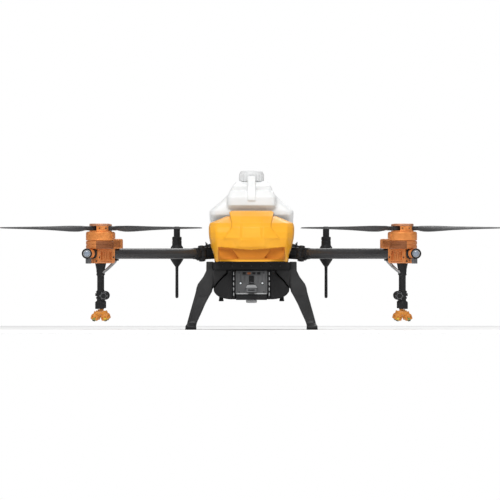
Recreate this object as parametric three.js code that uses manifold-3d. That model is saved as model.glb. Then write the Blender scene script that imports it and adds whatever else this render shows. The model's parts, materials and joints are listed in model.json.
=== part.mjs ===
// Agricultural spray drone: a folding X quadcopter with a lift-out tank, a plug-in battery
// and a twin nozzle under every motor. Millimetres, +Z up, front towards -Y, feet at z = 0.
import * as THREE from 'three';
import { mergeVertices } from 'three/addons/utils/BufferGeometryUtils.js';
import Module from 'manifold-3d';

const wasm = await Module();
wasm.setup();

// ---- fits and roundness ----
const GAP = 0.3;
const FINE = 20;
const MID = 14;
const COARSE = 8;
const WELD = 1e-4;

// ---- layout ----
const ARM_Z = 286.5;
const PIVOT = 188;
const MOTOR = 568.5;
const ARM_REACH = (MOTOR - PIVOT) * Math.SQRT2;
const FRONT_LEAN = 2.4;
const REAR_LEAN = 13;

// ---- arm ----
const TUBE_R = 20;
const TUBE_WALL = 2.5;
const TUBE_START = 40;
const TUBE_END = ARM_REACH + 36;
const PLUG_R = TUBE_R - TUBE_WALL - GAP;
const PLUG_END = 78;
const FLANGE_R = 21.5;
const FLANGE_START = 33;
const BOSS_R = 21;
const BOSS_HALF = 13.7;
const NECK_HALF = 16;
const PIN_R = 5;
const BOLT_HEAD_R = 12.5;
const BOLT_HEAD_H = 8;

// ---- fold clevis on the chassis ----
const CLEVIS_INNER = BOSS_HALF + GAP;
const CLEVIS_OUTER = 22;
const CLEVIS_R = 23;
const CLEVIS_HALF = 19;
const CLEVIS_LENGTH = 95;
const CLEVIS_THROAT = 45;

// ---- motor mount ----
const CLAMP_HALF = 25;
const CLAMP_IN = 56;
const CLAMP_OUT = 34;
const CLAMP_BOTTOM = 250;
const CLAMP_BEVEL = 6;
const CLAMP_SLOT = { along: [-34, 14], half: 4, depth: 4, z: [-26, 10] };
const SPLIT = { half: 1, z: [-40, -10] };
const BASE_Z = [304, 334];
const BASE_R = 51.5;
const ESC_BOX = { reach: 97, half: 22, z: [305, 342], corner: 8, crown: 5 };

// ---- lamp and antenna ----
const LAMP_OFFSET = 67;
const LAMP_DRUM = { radius: 19.5, x: [-6, 26] };
const LAMP_LENS = { radius: 10.5, x: [25, 29] };
const LAMP_FOOT = { x: [-18, 2], half: 6, z: [-37.5, -12] };
const ANTENNA_ALONG = 133;

// ---- rotor ----
const BELL_Z = [335.6, 369.4];
const BELL_R = 51.5;
const HUB_R = 38.5;
const HUB_LOW = 373;
const HUB_TOP = [390, 399];
const HUB_BOSS_R = 7.5;
const BLADE_PIN_X = 24;
const BLADE_PIN_R = 4;
const BLADE_EYE_R = 15.5;
const BLADE_NECK = { end: 56, half: 11 };
const BLADE_TIP = 382.5;
const HUB_WEB = { short: 12, long: 33, y: [-40, -17.5] };

// ---- spray line ----
const PIPE_R = 11;
const VALVE = { radius: 17, y: [-15, 13], x: -14, z: 128 };
const SOCKET_R = 7.8;
const NOZZLE_SPREAD = 12;
const NOZZLE_TILT = 18;
const HOSE_R = 3.4;

// ---- body ----
const TUB = { half: 142.7, y: [-215, 250], z: [226, 254], wall: 8, floor: 6 };
const TUB_DECK = TUB.z[0] + TUB.floor + GAP;
const RAIL = { x: [124, 138], y: [-140, 196], top: 318 };
const RAIL_WINDOW = { start: [-60, 10, 80], length: 50, z: [264, 304] };
const PAD = { x: [-95, 75], y: [-90, 140], size: 20 };
const WELL = { half: 123.7, y: [-117, 196] };
const BELLY = { y: [-200, 215], wall: 5, bay: 71, bayEnd: 24, bottom: 114 };
const BATTERY = { half: 60, y: [-214, 6], z: [133, 223] };
const RADAR = { half: 20.5, y: [-180, -120], z: [101, 111.7] };
const TANK_WALL = 3;
const TANK_FLOOR = 285;
const NECK_R = 39;
const NECK_WALL = 4;
const FILL_Y = -9;
const CAP_R = 47;
const CAP_Z = [559, 600];
const CAP_SEAT = 576;
const CAP_SCOOPS = 10;
const HOOD_BACK = -118;
const HOOD_SKIN = 3.5;
const HOOD_POWER = 3.4;
const COVER_FRONT = 197;
const COVER_POWER = 4;
const COVER_VENTS = { rows: 4, half: 55, z: 286, pitch: 16, height: 6 };

// ---- colours ----
const COLOURS = {
  orange: 0xe8862f,
  rotorOrange: 0xe8935a,
  tankWhite: 0xf2f3f0,
  black: 0x232325,
  carbon: 0x3a3a3d,
  grey: 0x6a6c70,
  steel: 0xa9adb1,
  blade: 0x2c2c2e,
};

const group = new THREE.Group();
group.name = 'agricultural_spray_drone';

// ---------------------------------------------------------------- solids
function toManifold(geometry) {
  const bare = geometry.clone();
  bare.deleteAttribute('normal');
  bare.deleteAttribute('uv');
  const welded = mergeVertices(bare, WELD);
  return new wasm.Manifold(new wasm.Mesh({
    numProp: 3,
    vertProperties: new Float32Array(welded.attributes.position.array),
    triVerts: new Uint32Array(welded.index.array),
  }));
}

function toGeometry(manifold) {
  const data = manifold.getMesh();
  const geometry = new THREE.BufferGeometry();
  geometry.setAttribute('position', new THREE.BufferAttribute(new Float32Array(data.vertProperties), 3));
  geometry.setIndex(new THREE.BufferAttribute(new Uint32Array(data.triVerts), 1));
  return geometry;
}

function join(...solids) {
  return toGeometry(solids.map(toManifold).reduce((sum, next) => sum.add(next)));
}

function cut(base, ...tools) {
  return toGeometry(tools.map(toManifold).reduce((rest, tool) => rest.subtract(tool), toManifold(base)));
}

function common(first, second) {
  return toGeometry(toManifold(first).intersect(toManifold(second)));
}

function flipWinding(geometry) {
  const index = geometry.index.array;
  for (let i = 0; i < index.length; i += 3) {
    const swap = index[i + 1];
    index[i + 1] = index[i + 2];
    index[i + 2] = swap;
  }
  return geometry;
}

function moved(geometry, matrix) {
  const copy = geometry.clone();
  copy.deleteAttribute('normal');
  copy.deleteAttribute('uv');
  const indexed = copy.index ? copy : mergeVertices(copy, WELD);
  indexed.applyMatrix4(matrix);
  return matrix.determinant() < 0 ? flipWinding(indexed) : indexed;
}

function signedVolume(positions, index) {
  const corner = (i) => new THREE.Vector3().fromArray(positions, index[i] * 3);
  let sum = 0;
  for (let i = 0; i < index.length; i += 3) {
    sum += corner(i).dot(corner(i + 1).cross(corner(i + 2)));
  }
  return sum / 6;
}

// A closed skin over rings of equal length, each ring flat and convex.
function loft(rings) {
  const count = rings[0].length;
  const positions = rings.flat().flatMap((p) => [p.x, p.y, p.z]);
  const index = [];
  for (let ring = 0; ring + 1 < rings.length; ring += 1) {
    for (let k = 0; k < count; k += 1) {
      const a = ring * count + k;
      const b = ring * count + ((k + 1) % count);
      index.push(a, b, b + count, a, b + count, a + count);
    }
  }
  const last = (rings.length - 1) * count;
  for (let k = 1; k + 1 < count; k += 1) {
    index.push(0, k + 1, k);
    index.push(last, last + k, last + k + 1);
  }
  const geometry = new THREE.BufferGeometry();
  geometry.setAttribute('position', new THREE.Float32BufferAttribute(positions, 3));
  geometry.setIndex(index);
  return signedVolume(positions, index) < 0 ? flipWinding(geometry) : geometry;
}

function block(x, y, z) {
  const geometry = new THREE.BoxGeometry(x[1] - x[0], y[1] - y[0], z[1] - z[0]);
  return geometry.translate((x[0] + x[1]) / 2, (y[0] + y[1]) / 2, (z[0] + z[1]) / 2);
}

function rod(radius, z0, z1, segments, x = 0, y = 0, topRadius = radius) {
  const geometry = new THREE.CylinderGeometry(topRadius, radius, z1 - z0, segments);
  return geometry.rotateX(Math.PI / 2).translate(x, y, (z0 + z1) / 2);
}

// Radius of a round hole with flats, so that a round of the given size turns freely in it.
function boreFor(radius, segments) {
  return (radius + GAP) / Math.cos(Math.PI / segments);
}

function rodX(radius, x0, x1, segments, y = 0, z = 0) {
  return rod(radius, x0, x1, segments).rotateY(Math.PI / 2).translate(0, y, z);
}

function rodY(radius, y0, y1, segments, x = 0, z = 0) {
  return rod(radius, -y1, -y0, segments).rotateX(Math.PI / 2).translate(x, 0, z);
}

function turned(profile, segments) {
  const points = profile.map(([r, z]) => new THREE.Vector2(r, z));
  return new THREE.LatheGeometry(points, segments).rotateX(Math.PI / 2);
}

// A flat outline in X and Z, pushed along Y from y0 to y1.
function prismY(outline, y0, y1) {
  const shape = new THREE.Shape(outline.map(([x, z]) => new THREE.Vector2(x, z)));
  const geometry = new THREE.ExtrudeGeometry(shape, { depth: y1 - y0, bevelEnabled: false });
  return geometry.rotateX(Math.PI / 2).translate(0, y1, 0);
}

function hose(points, radius) {
  const path = new THREE.CatmullRomCurve3(points.map((p) => new THREE.Vector3(...p)));
  const outline = new THREE.Shape().absarc(0, 0, radius, 0, 2 * Math.PI);
  return new THREE.ExtrudeGeometry(outline, { steps: 5, curveSegments: 3, extrudePath: path });
}

function rectRing(z, halfX, y0, y1, radius, steps = 2) {
  const ring = [];
  const halfY = (y1 - y0) / 2;
  const middle = (y1 + y0) / 2;
  for (let corner = 0; corner < 4; corner += 1) {
    const signX = corner === 0 || corner === 3 ? 1 : -1;
    const signY = corner < 2 ? 1 : -1;
    for (let step = 0; step <= steps; step += 1) {
      const angle = (corner + step / steps) * (Math.PI / 2);
      const x = signX * (halfX - radius) + radius * Math.cos(angle);
      const y = middle + signY * (halfY - radius) + radius * Math.sin(angle);
      ring.push(new THREE.Vector3(x, y, z));
    }
  }
  return ring;
}

// ---------------------------------------------------------------- placing and naming
const CORNERS = [
  { tag: 'front_right', side: 1, back: 1, lean: FRONT_LEAN },
  { tag: 'front_left', side: -1, back: 1, lean: FRONT_LEAN },
  { tag: 'rear_right', side: 1, back: -1, lean: REAR_LEAN },
  { tag: 'rear_left', side: -1, back: -1, lean: REAR_LEAN },
];

function mirror(corner) {
  return new THREE.Matrix4().makeScale(corner.side, corner.back, 1);
}

// From the arm frame (fold pivot at the origin, arm along +X) to the drone.
function armFrame(corner) {
  const turn = new THREE.Matrix4().makeRotationZ(-Math.PI / 4);
  const shift = new THREE.Matrix4().makeTranslation(PIVOT, -PIVOT, ARM_Z);
  return mirror(corner).multiply(shift).multiply(turn);
}

// From the motor frame (motor axis at x = y = 0, true height) to the drone.
function motorFrame(corner) {
  return mirror(corner).multiply(new THREE.Matrix4().makeTranslation(MOTOR, -MOTOR, 0));
}

function leaned(geometry, corner) {
  const lean = THREE.MathUtils.degToRad(corner.lean);
  return moved(geometry, new THREE.Matrix4().makeRotationY(lean));
}

function put(name, geometry, colour, metalness = 0, roughness = 0.5) {
  const material = new THREE.MeshStandardMaterial({ color: colour, metalness, roughness });
  const mesh = new THREE.Mesh(toGeometry(toManifold(geometry)), material);
  mesh.geometry.computeVertexNormals();
  mesh.name = name;
  group.add(mesh);
}

// ---------------------------------------------------------------- arms
function armRoot(corner) {
  const boss = rod(BOSS_R, -BOSS_HALF, BOSS_HALF, MID);
  const neck = block([0, FLANGE_START + 3], [-NECK_HALF, NECK_HALF], [-BOSS_HALF, BOSS_HALF]);
  const hinge = cut(join(boss, neck), rod(boreFor(PIN_R, COARSE), -TUBE_R, TUBE_R, COARSE));
  const flange = rodX(FLANGE_R, FLANGE_START, TUBE_START - GAP, MID);
  const plug = rodX(PLUG_R, TUBE_START - 2, PLUG_END, MID);
  return join(leaned(hinge, corner), flange, plug);
}

function armTube() {
  const outer = rodX(TUBE_R, TUBE_START, TUBE_END, MID);
  return cut(outer, rodX(TUBE_R - TUBE_WALL, TUBE_START - 1, TUBE_END + 1, MID));
}

function foldBolt(corner) {
  const top = CLEVIS_OUTER + GAP;
  const shank = rod(PIN_R, -top - 1, top + 1, COARSE);
  const head = rod(BOLT_HEAD_R, top, top + BOLT_HEAD_H, COARSE, 0, 0, BOLT_HEAD_R - 1.5);
  const nut = rod(BOLT_HEAD_R, -top - BOLT_HEAD_H, -top, 6);
  return leaned(join(shank, head, nut), corner);
}

function clampBlock() {
  const low = CLAMP_BOTTOM - ARM_Z;
  const high = BASE_Z[0] + 1 - ARM_Z;
  const half = CLAMP_HALF;
  const outline = [[-half, low + CLAMP_BEVEL], [-half + CLAMP_BEVEL, low], [half - CLAMP_BEVEL, low],
    [half, low + CLAMP_BEVEL], [half, high], [-half, high]];
  const body = prismY(outline, ARM_REACH - CLAMP_IN, ARM_REACH + CLAMP_OUT);
  return moved(body, new THREE.Matrix4().makeRotationZ(-Math.PI / 2));
}

function clampSlots() {
  const { along, half, depth, z } = CLAMP_SLOT;
  const slots = [];
  for (const offset of along) {
    for (const side of [-1, 1]) {
      const x = ARM_REACH + offset;
      const y = side * CLAMP_HALF;
      slots.push(block([x - half, x + half], [y - depth, y + depth], z));
    }
  }
  return slots;
}

function escBox() {
  const { reach, half, z: [low, high], corner, crown } = ESC_BOX;
  const inset = crown + 1;
  return loft([
    rectRing(low - ARM_Z, reach / 2, -half, half, corner),
    rectRing(high - crown - ARM_Z, reach / 2, -half, half, corner),
    rectRing(high - ARM_Z, reach / 2 - inset, inset - half, half - inset, corner - 2),
  ]).translate(ARM_REACH - reach / 2, 0, 0);
}

function motorMount() {
  const base = rod(BASE_R, BASE_Z[0] - ARM_Z, BASE_Z[1] - ARM_Z, FINE, ARM_REACH, 0);
  const rotorRoom = rod(BELL_R + 1.5, BASE_Z[1] - ARM_Z, BELL_Z[1] - ARM_Z, FINE, ARM_REACH, 0);
  const bore = rodX(TUBE_R + GAP, ARM_REACH - 2 * ESC_BOX.reach, TUBE_END, MID);
  const split = block([ARM_REACH - ESC_BOX.reach, TUBE_END + 1], [-SPLIT.half, SPLIT.half], SPLIT.z);
  const bearing = rod(boreFor(PIN_R, FINE), TUBE_R, BELL_Z[1] - ARM_Z, FINE, ARM_REACH, 0);
  return cut(join(base, escBox(), clampBlock()), rotorRoom, bore, split, bearing, ...clampSlots());
}

function navLamp() {
  const centre = ARM_REACH + LAMP_OFFSET;
  const place = new THREE.Matrix4().makeTranslation(centre, 0, 0);
  place.multiply(new THREE.Matrix4().makeRotationZ(-Math.PI / 4));
  const drum = rodX(LAMP_DRUM.radius, ...LAMP_DRUM.x, MID);
  const lens = rodX(LAMP_LENS.radius, ...LAMP_LENS.x, COARSE);
  const head = moved(join(drum, lens), place);
  const plug = rodX(PLUG_R, TUBE_END - 24, centre, MID);
  const { x, half, z } = LAMP_FOOT;
  return join(head, plug, block([centre + x[0], centre + x[1]], [-half, half], z));
}

// ---------------------------------------------------------------- rotors
// The web between the hub plates, on the side the blades never fold to.
function hubWeb(side) {
  const { short, long, y } = HUB_WEB;
  const x = side > 0 ? [-short, long] : [-long, short];
  const web = block(x, y, [HUB_LOW - 1, HUB_TOP[0] + 1]);
  return common(web, rod(HUB_R - 1, HUB_LOW - 2, HUB_TOP[0] + 2, FINE));
}

function rotorBell(side) {
  const profile = [[0, 320], [PIN_R, 320], [PIN_R, BELL_Z[0]], [BELL_R, BELL_Z[0]],
    [BELL_R, BELL_Z[1] - 6], [BELL_R - 6, BELL_Z[1]], [HUB_R, BELL_Z[1]], [HUB_R, HUB_LOW],
    [HUB_BOSS_R, HUB_LOW], [HUB_BOSS_R, HUB_TOP[0]], [HUB_R, HUB_TOP[0]], [HUB_R, HUB_TOP[1] - 3],
    [HUB_R - 4, HUB_TOP[1]], [0, HUB_TOP[1]]];
  const body = turned(profile, FINE);
  const pins = [-BLADE_PIN_X, BLADE_PIN_X].map((x) => {
    return rod(BLADE_PIN_R, HUB_LOW - 1, HUB_TOP[0] + 1, COARSE, x);
  });
  return join(body, hubWeb(side), ...pins);
}

// Chord, pitch in degrees, thickness and height of the blade at each reach from the rotor axis.
const BLADE_STATIONS = [
  { reach: 48, chord: 24, pitch: 9, thick: 13.5, height: 381.4 },
  { reach: 60, chord: 38, pitch: 16, thick: 12.5, height: 381.2 },
  { reach: 72, chord: 48, pitch: 19.5, thick: 10.8, height: 380.1 },
  { reach: 86, chord: 54, pitch: 21, thick: 9, height: 379.5 },
  { reach: 125, chord: 57.5, pitch: 20, thick: 6.4, height: 380 },
  { reach: 200, chord: 49, pitch: 14, thick: 5, height: 381.5 },
  { reach: 290, chord: 38, pitch: 10, thick: 3.8, height: 382.5 },
  { reach: 355, chord: 29, pitch: 8, thick: 3, height: 383 },
  { reach: BLADE_TIP, chord: 14, pitch: 7, thick: 2.2, height: 383 },
];

function bladeRing({ reach, chord, pitch: degrees, thick, height }, points = 8) {
  const pitch = THREE.MathUtils.degToRad(degrees);
  const ring = [];
  for (let k = 0; k < points; k += 1) {
    const angle = (2 * Math.PI * k) / points;
    const along = (chord / 2) * Math.cos(angle);
    const up = (thick / 2) * Math.sin(angle);
    const y = along * Math.cos(pitch) - up * Math.sin(pitch);
    const z = along * Math.sin(pitch) + up * Math.cos(pitch);
    ring.push(new THREE.Vector3(reach, y, height + z));
  }
  return ring;
}

function blade() {
  const wing = loft(BLADE_STATIONS.map((station) => bladeRing(station)));
  const low = HUB_LOW + GAP;
  const high = HUB_TOP[0] - GAP;
  const eye = rod(BLADE_EYE_R, low, high, COARSE, BLADE_PIN_X);
  const neck = block([BLADE_PIN_X, BLADE_NECK.end], [-BLADE_NECK.half, BLADE_NECK.half], [low, high]);
  const pinHole = rod(boreFor(BLADE_PIN_R, COARSE), low - 1, high + 1, COARSE, BLADE_PIN_X);
  return cut(join(eye, neck, wing), pinHole);
}

// ---------------------------------------------------------------- spray line
function dropPipe() {
  const top = CLAMP_BOTTOM - GAP;
  const profile = [[0, 79], [17, 79], [17, 109], [PIPE_R, 109], [PIPE_R, 148], [9.5, 148], [9.5, 206],
    [12.5, 206], [12.5, 224], [17, top], [0, top]];
  const pipe = turned(profile, MID);
  const valve = rodY(VALVE.radius, ...VALVE.y, MID, VALVE.x, VALVE.z);
  const bleed = rodX(6, 8, 17, COARSE, 0, 133);
  return cut(join(pipe, valve, bleed), rod(SOCKET_R, 70, 80, COARSE));
}

function feedHose() {
  const path = [[84, -23.5], [70, -36], [44, -54], [20, -68], [8, -74]];
  return hose(path.map(([back, z]) => [ARM_REACH - back, 0, z]), HOSE_R);
}

function nozzleHead() {
  const neck = rod(7.4, 66, 78, COARSE);
  const bridge = loft([
    rectRing(56, 20, -10, 10, 5),
    rectRing(66, 18, -11, 11, 5),
    rectRing(70, 12, -10, 10, 5),
  ]);
  const heads = [-1, 1].map((side) => {
    const stem = turned([[0, -37], [5, -37], [7, -32], [14, -31], [14, -13], [9, -8], [9, 2], [0, 2]],
      COARSE + 2);
    stem.rotateY(-side * THREE.MathUtils.degToRad(NOZZLE_TILT));
    return stem.translate(side * NOZZLE_SPREAD, 0, 68);
  });
  return join(neck, bridge, ...heads);
}

function antennaUnit() {
  const profile = [[0, -168], [4, -168], [6, -164], [6, -50], [8.5, -46.5], [24.5, -22],
    [24.5, 20.5], [18, 32], [18, 62.5], [12, 64], [12, 99], [9, 102.5], [0, 102.5]];
  const body = turned(profile, MID);
  const bore = rodX(TUBE_R + GAP, -2 * TUBE_R, 2 * TUBE_R, MID);
  return cut(body, bore).translate(ANTENNA_ALONG, 0, 0);
}

for (const corner of CORNERS) {
  const arm = armFrame(corner);
  const motor = motorFrame(corner);
  const { tag } = corner;
  const opposite = motor.clone().multiply(new THREE.Matrix4().makeRotationZ(Math.PI));
  const spray = join(moved(dropPipe(), motor), moved(feedHose(), arm));
  put(`arm_root_${tag}`, moved(armRoot(corner), arm), COLOURS.black);
  put(`arm_tube_${tag}`, moved(armTube(), arm), COLOURS.carbon, 0.1, 0.4);
  put(`fold_bolt_${tag}`, moved(foldBolt(corner), arm), COLOURS.steel, 0.9, 0.35);
  put(`motor_mount_${tag}`, moved(motorMount(), arm), COLOURS.rotorOrange, 0.6, 0.4);
  put(`nav_lamp_${tag}`, moved(navLamp(), arm), COLOURS.grey);
  put(`rotor_bell_${tag}`, moved(rotorBell(corner.side), motor), COLOURS.rotorOrange, 0.6, 0.4);
  put(`blade_a_${tag}`, moved(blade(), motor), COLOURS.blade);
  put(`blade_b_${tag}`, moved(blade(), opposite), COLOURS.blade);
  put(`drop_pipe_${tag}`, spray, COLOURS.black);
  put(`nozzle_head_${tag}`, moved(nozzleHead(), motor), COLOURS.orange);
  if (corner.back < 0) {
    put(`antenna_unit_${tag}`, moved(antennaUnit(), arm), COLOURS.black);
  }
}

// ---------------------------------------------------------------- chassis
const CLEVIS_PEG = { along: -31, radius: 3, tip: 1.5, top: 38 };

function clevis(corner) {
  const outer = CLEVIS_OUTER;
  const parts = [];
  for (const side of [-1, 1]) {
    const z = [side * CLEVIS_INNER, side * outer].sort((a, b) => a - b);
    parts.push(rod(CLEVIS_R, z[0], z[1], MID));
    parts.push(block([-CLEVIS_LENGTH, 0], [-CLEVIS_HALF, CLEVIS_HALF], z));
  }
  parts.push(block([-CLEVIS_LENGTH, -CLEVIS_THROAT], [-CLEVIS_HALF, CLEVIS_HALF], [-outer, outer]));
  const { along, radius, tip, top } = CLEVIS_PEG;
  parts.push(rod(radius, outer - 1, top, COARSE, along, 0, tip));
  const bored = cut(join(...parts), rod(PIN_R + GAP, -outer - 1, outer + 1, COARSE));
  return moved(leaned(bored, corner), armFrame(corner));
}

// The two mirrored spans of a span given for the right-hand side.
function bothSides([near, far]) {
  return [[near, far], [-far, -near]];
}

function chassis() {
  const { half, y, z, wall, floor } = TUB;
  const tub = block([-half, half], y, z);
  const inside = [-RAIL.x[0], RAIL.x[0]];
  const pocket = block(inside, [y[0] + wall, y[1] - wall], [z[0] + floor, z[1] + 1]);
  const rails = bothSides(RAIL.x).map((x) => block(x, RAIL.y, [z[0] + 1, RAIL.top]));
  const windows = RAIL_WINDOW.start.map((start) => {
    return block([-half, half], [start, start + RAIL_WINDOW.length], RAIL_WINDOW.z);
  });
  const pads = PAD.x.flatMap((x) => PAD.y.map((padY) => {
    return block([x, x + PAD.size], [padY, padY + PAD.size], [z[0] + 1, TANK_FLOOR - GAP]);
  }));
  const well = block([-WELL.half, WELL.half], WELL.y, [TANK_FLOOR - 1, RAIL.top + 40]);
  const open = cut(join(tub, ...rails, ...CORNERS.map(clevis)), pocket, ...windows);
  return cut(join(open, ...pads), well);
}

// Where the top of each leg wraps the corner of the belly, seen from the front.
const LEG_BRACKET = [[165, 225.7], [92, 225.7], [92, 214], [123, 183], [146, 152], [165, 150]];
const BRACKET_Y = [-186, -160];

// The corner of the belly cut away for a leg, with room to spare all round.
function cornerRoom(room) {
  const outline = LEG_BRACKET.map(([x, z]) => {
    return [x > TUB.half + 5 ? x + 35 : x - room, z > TUB.z[0] - 1 ? z + 20 : z - room];
  });
  return prismY(outline, BELLY.y[0] - 20, BRACKET_Y[1] + room);
}

function mirroredFour(geometry) {
  return CORNERS.map((corner) => moved(geometry, mirror(corner)));
}

function bellyShell() {
  const { half } = TUB;
  const { y, wall, bay, bayEnd, bottom } = BELLY;
  const top = 225.7;
  const right = [[bay, bottom], [96, 116], [122, 124], [138, 138], [half, 148], [half, top]];
  const left = right.map(([x, z]) => [-x, z]).reverse();
  const hull = prismY([...right, ...left], ...y);
  const bayRoom = block([-bay, bay], [y[0] - 10, bayEnd], [bottom - 14, top + 15]);
  const pocket = [[bay + wall, top + 4], [bay + wall, 119], [120, 129], [half - wall, 150],
    [half - wall, top + 4]];
  const side = cut(prismY(pocket, y[0] + wall, y[1] - wall), ...mirroredFour(cornerRoom(2 + wall)));
  const hollows = [1, -1].map((sign) => moved(side, new THREE.Matrix4().makeScale(sign, 1, 1)));
  const rearHalf = bay + wall + 1;
  const rear = block([-rearHalf, rearHalf], [bayEnd + wall, y[1] - wall], [bottom + wall, top + 4]);
  const knobs = [-1, 1].map((sign) => rod(9, 107, 121, COARSE, sign * 114, -140, 10));
  const shell = cut(hull, bayRoom, ...hollows, rear, ...mirroredFour(cornerRoom(2)));
  return join(shell, ...knobs);
}

function batteryTray() {
  const floor = block([-58, 58], [-212, 20], [112, 131]);
  const hollow = block([-50, 50], [-204, 12], [111, 126]);
  const rails = bothSides([62, 70]).map((x) => block(x, [-206, 20], [118, 222]));
  const bridge = block([-70, 70], [-150, 10], [118, 124]);
  return join(cut(floor, hollow), bridge, ...rails);
}

function battery() {
  const { half, y, z } = BATTERY;
  const height = (z[1] - z[0]) / 2;
  const length = y[1] - y[0];
  const body = loft([
    rectRing(0, half, -height, height, 7),
    rectRing(length - 4, half, -height, height, 7),
    rectRing(length, half - 4, 4 - height, height - 4, 6),
  ]).rotateX(Math.PI / 2).translate(0, y[1], z[0] + height);
  const recess = block([-9.5, 9.5], [y[0] - 1, y[0] + 12], [171, 204]);
  const grooves = bothSides([39.5, 42.5]).map((x) => block(x, [y[0] - 2, y[0] + 2], [182, 217]));
  const slot = block([-14, 14], [y[0] - 16, y[0] + 8], [148, 153]);
  const grip = block([-20, 20], [y[0] - 12, y[0] + 2], [142, 157]);
  return cut(join(body, cut(grip, slot)), recess, ...grooves);
}

function batteryLatch() {
  const plate = block([-8.5, 8.5], [-214.5, -209], [178, 203]);
  const barrel = rodX(4, -8.5, 8.5, COARSE, -208, 179.5);
  return join(plate, barrel);
}

function radarPlate() {
  const { half, y, z } = RADAR;
  return loft([
    rectRing(z[0], half - 2.5, y[0] + 2, y[1] - 2, 4),
    rectRing(z[0] + 3, half, ...y, 4),
    rectRing(z[1], half, ...y, 4),
  ]);
}

// ---------------------------------------------------------------- hood and rear cover
function hoodRing(z, half, nose, back, power, steps = 14) {
  const ring = [];
  for (let k = 0; k <= steps; k += 1) {
    const angle = (Math.PI * k) / steps;
    const c = Math.cos(angle);
    const s = Math.sin(angle);
    const x = half * Math.sign(c) * Math.abs(c) ** (2 / power);
    ring.push(new THREE.Vector3(x, back + (nose - back) * s ** (2 / power), z));
  }
  return ring;
}

// Height, half width and nose of the hood body.
const HOOD_LEVELS = [[255, 138, -268], [282, 142, -279], [311, 152, -291], [345, 159, -300],
  [367, 161, -297], [386, 161, -285], [401, 157, -266], [427.5, 93, -212]];

// Height, half width, edge and nose of the raised spine along its middle.
const SPINE_LEVELS = [[311, 132, -250, -293], [345, 104, -289, -303], [386, 74, -288, -294],
  [401, 74, -276, -280], [427, 80, -236, -243], [442, 84, -204, -212], [448, 76, -180, -190]];
const SPINE_FLAT = 38;

function hoodSkin(inset) {
  return loft(HOOD_LEVELS.map(([z, half, nose], level) => {
    const drop = level > 5 ? inset : 0;
    const low = level === 0 ? z - inset * 2 : z - drop;
    return hoodRing(low, half - inset, nose + inset, HOOD_BACK + inset * 2, HOOD_POWER);
  }));
}

function spineSkin(inset) {
  const back = HOOD_BACK + inset * 2;
  return loft(SPINE_LEVELS.map(([z, half, edge, nose], level) => {
    const low = z - (level > 3 ? inset : 0);
    const side = [[half - inset, back], [half - inset, edge + inset], [SPINE_FLAT, nose + inset]];
    const ring = [...side, ...side.map(([x, y]) => [-x, y]).reverse()];
    return ring.map(([x, y]) => new THREE.Vector3(x, y, low));
  }));
}

function frontHood() {
  const outer = join(hoodSkin(0), spineSkin(0));
  const shell = cut(outer, hoodSkin(HOOD_SKIN), spineSkin(HOOD_SKIN));
  const backing = common(outer, block([-131, 131], [-320, -255], [258, 322]));
  const lip = [[-127, 266], [127, 266], [127, 313], [72, 307.5], [0, 302], [-72, 307.5], [-127, 313]];
  const recess = prismY(lip, -330, -272);
  const pockets = [-1, 1].map((side) => {
    const outline = [[side * 50, 270], [side * 122, 270], [side * 122, 308], [side * 74, 303]];
    return prismY(outline, -330, -260);
  });
  const notches = bothSides([112, 190]).map((x) => block(x, [-190, HOOD_BACK + 10], [240, 322]));
  return cut(join(shell, backing), recess, ...pockets, ...notches);
}

// Height, half width and tail of the rear cover.
const COVER_LEVELS = [[255.5, 140, 262], [330, 148, 268], [380, 146, 262], [398, 128, 246]];

function coverSkin(inset) {
  return loft(COVER_LEVELS.map(([z, half, tail], level) => {
    const low = level === 0 ? z - inset * 2 : z - (level > 1 ? inset : 0);
    return hoodRing(low, half - inset, tail - inset, COVER_FRONT - inset * 2, COVER_POWER, 10);
  }));
}

function rearCover() {
  const { rows, half, z, pitch, height } = COVER_VENTS;
  const vents = [];
  for (let row = 0; row < rows; row += 1) {
    vents.push(block([-half, half], [240, 290], [z + row * pitch, z + row * pitch + height]));
  }
  const notches = bothSides([118, 190]).map((x) => block(x, [COVER_FRONT - 10, 214], [240, 324]));
  return cut(coverSkin(0), coverSkin(HOOD_SKIN), ...vents, ...notches);
}

// ---------------------------------------------------------------- tank
// Height, half width, front, back and corner radius of the tank body.
const TANK_LEVELS = [[TANK_FLOOR, 108, -98, 176, 22], [TANK_FLOOR + 12, 122, -112, 190, 26],
  [372, 122, -112, 190, 26], [384, 128, -102, 190, 26], [403, 157, -90, 193, 28], [433, 158, -115, 194, 28],
  [447, 158, -115, 194, 28], [480, 118, -106, 160, 26], [504, 93, -98, 128, 24]];

// The same for the filler tower on top, whose front leans out over the hood.
const TOWER_LEVELS = [[440, 88, -100, 82, 18], [449, 92, -108, 84, 20], [468, 92, -140, 84, 20],
  [500, 92, -140, 84, 20], [519, 84, -124, 74, 20], [521, 83, -104, 70, 18], [541, 72, -112, 62, 18],
  [543, 70, -110, 60, 18], [557, 57, -66, 48, 18]];

function tankSkin(levels, inset) {
  return loft(levels.map(([z, half, front, back, radius], level) => {
    const shift = (level === 0 ? inset : 0) - (level === levels.length - 1 ? inset : 0);
    return rectRing(z + shift, half - inset, front + inset, back - inset, radius - inset);
  }));
}

// Distance in front of the middle and height round the side view of the carry handle.
const HANDLE = [[130, 482], [146, 486], [143, 506], [127, 536], [102, 562], [82, 577], [66, 578], [62, 572],
  [66, 556], [60, 545]];
const HANDLE_HALF = 14.5;

function carryHandle() {
  const rib = prismY(HANDLE, -HANDLE_HALF, HANDLE_HALF);
  return moved(rib, new THREE.Matrix4().makeRotationZ(-Math.PI / 2));
}

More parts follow.
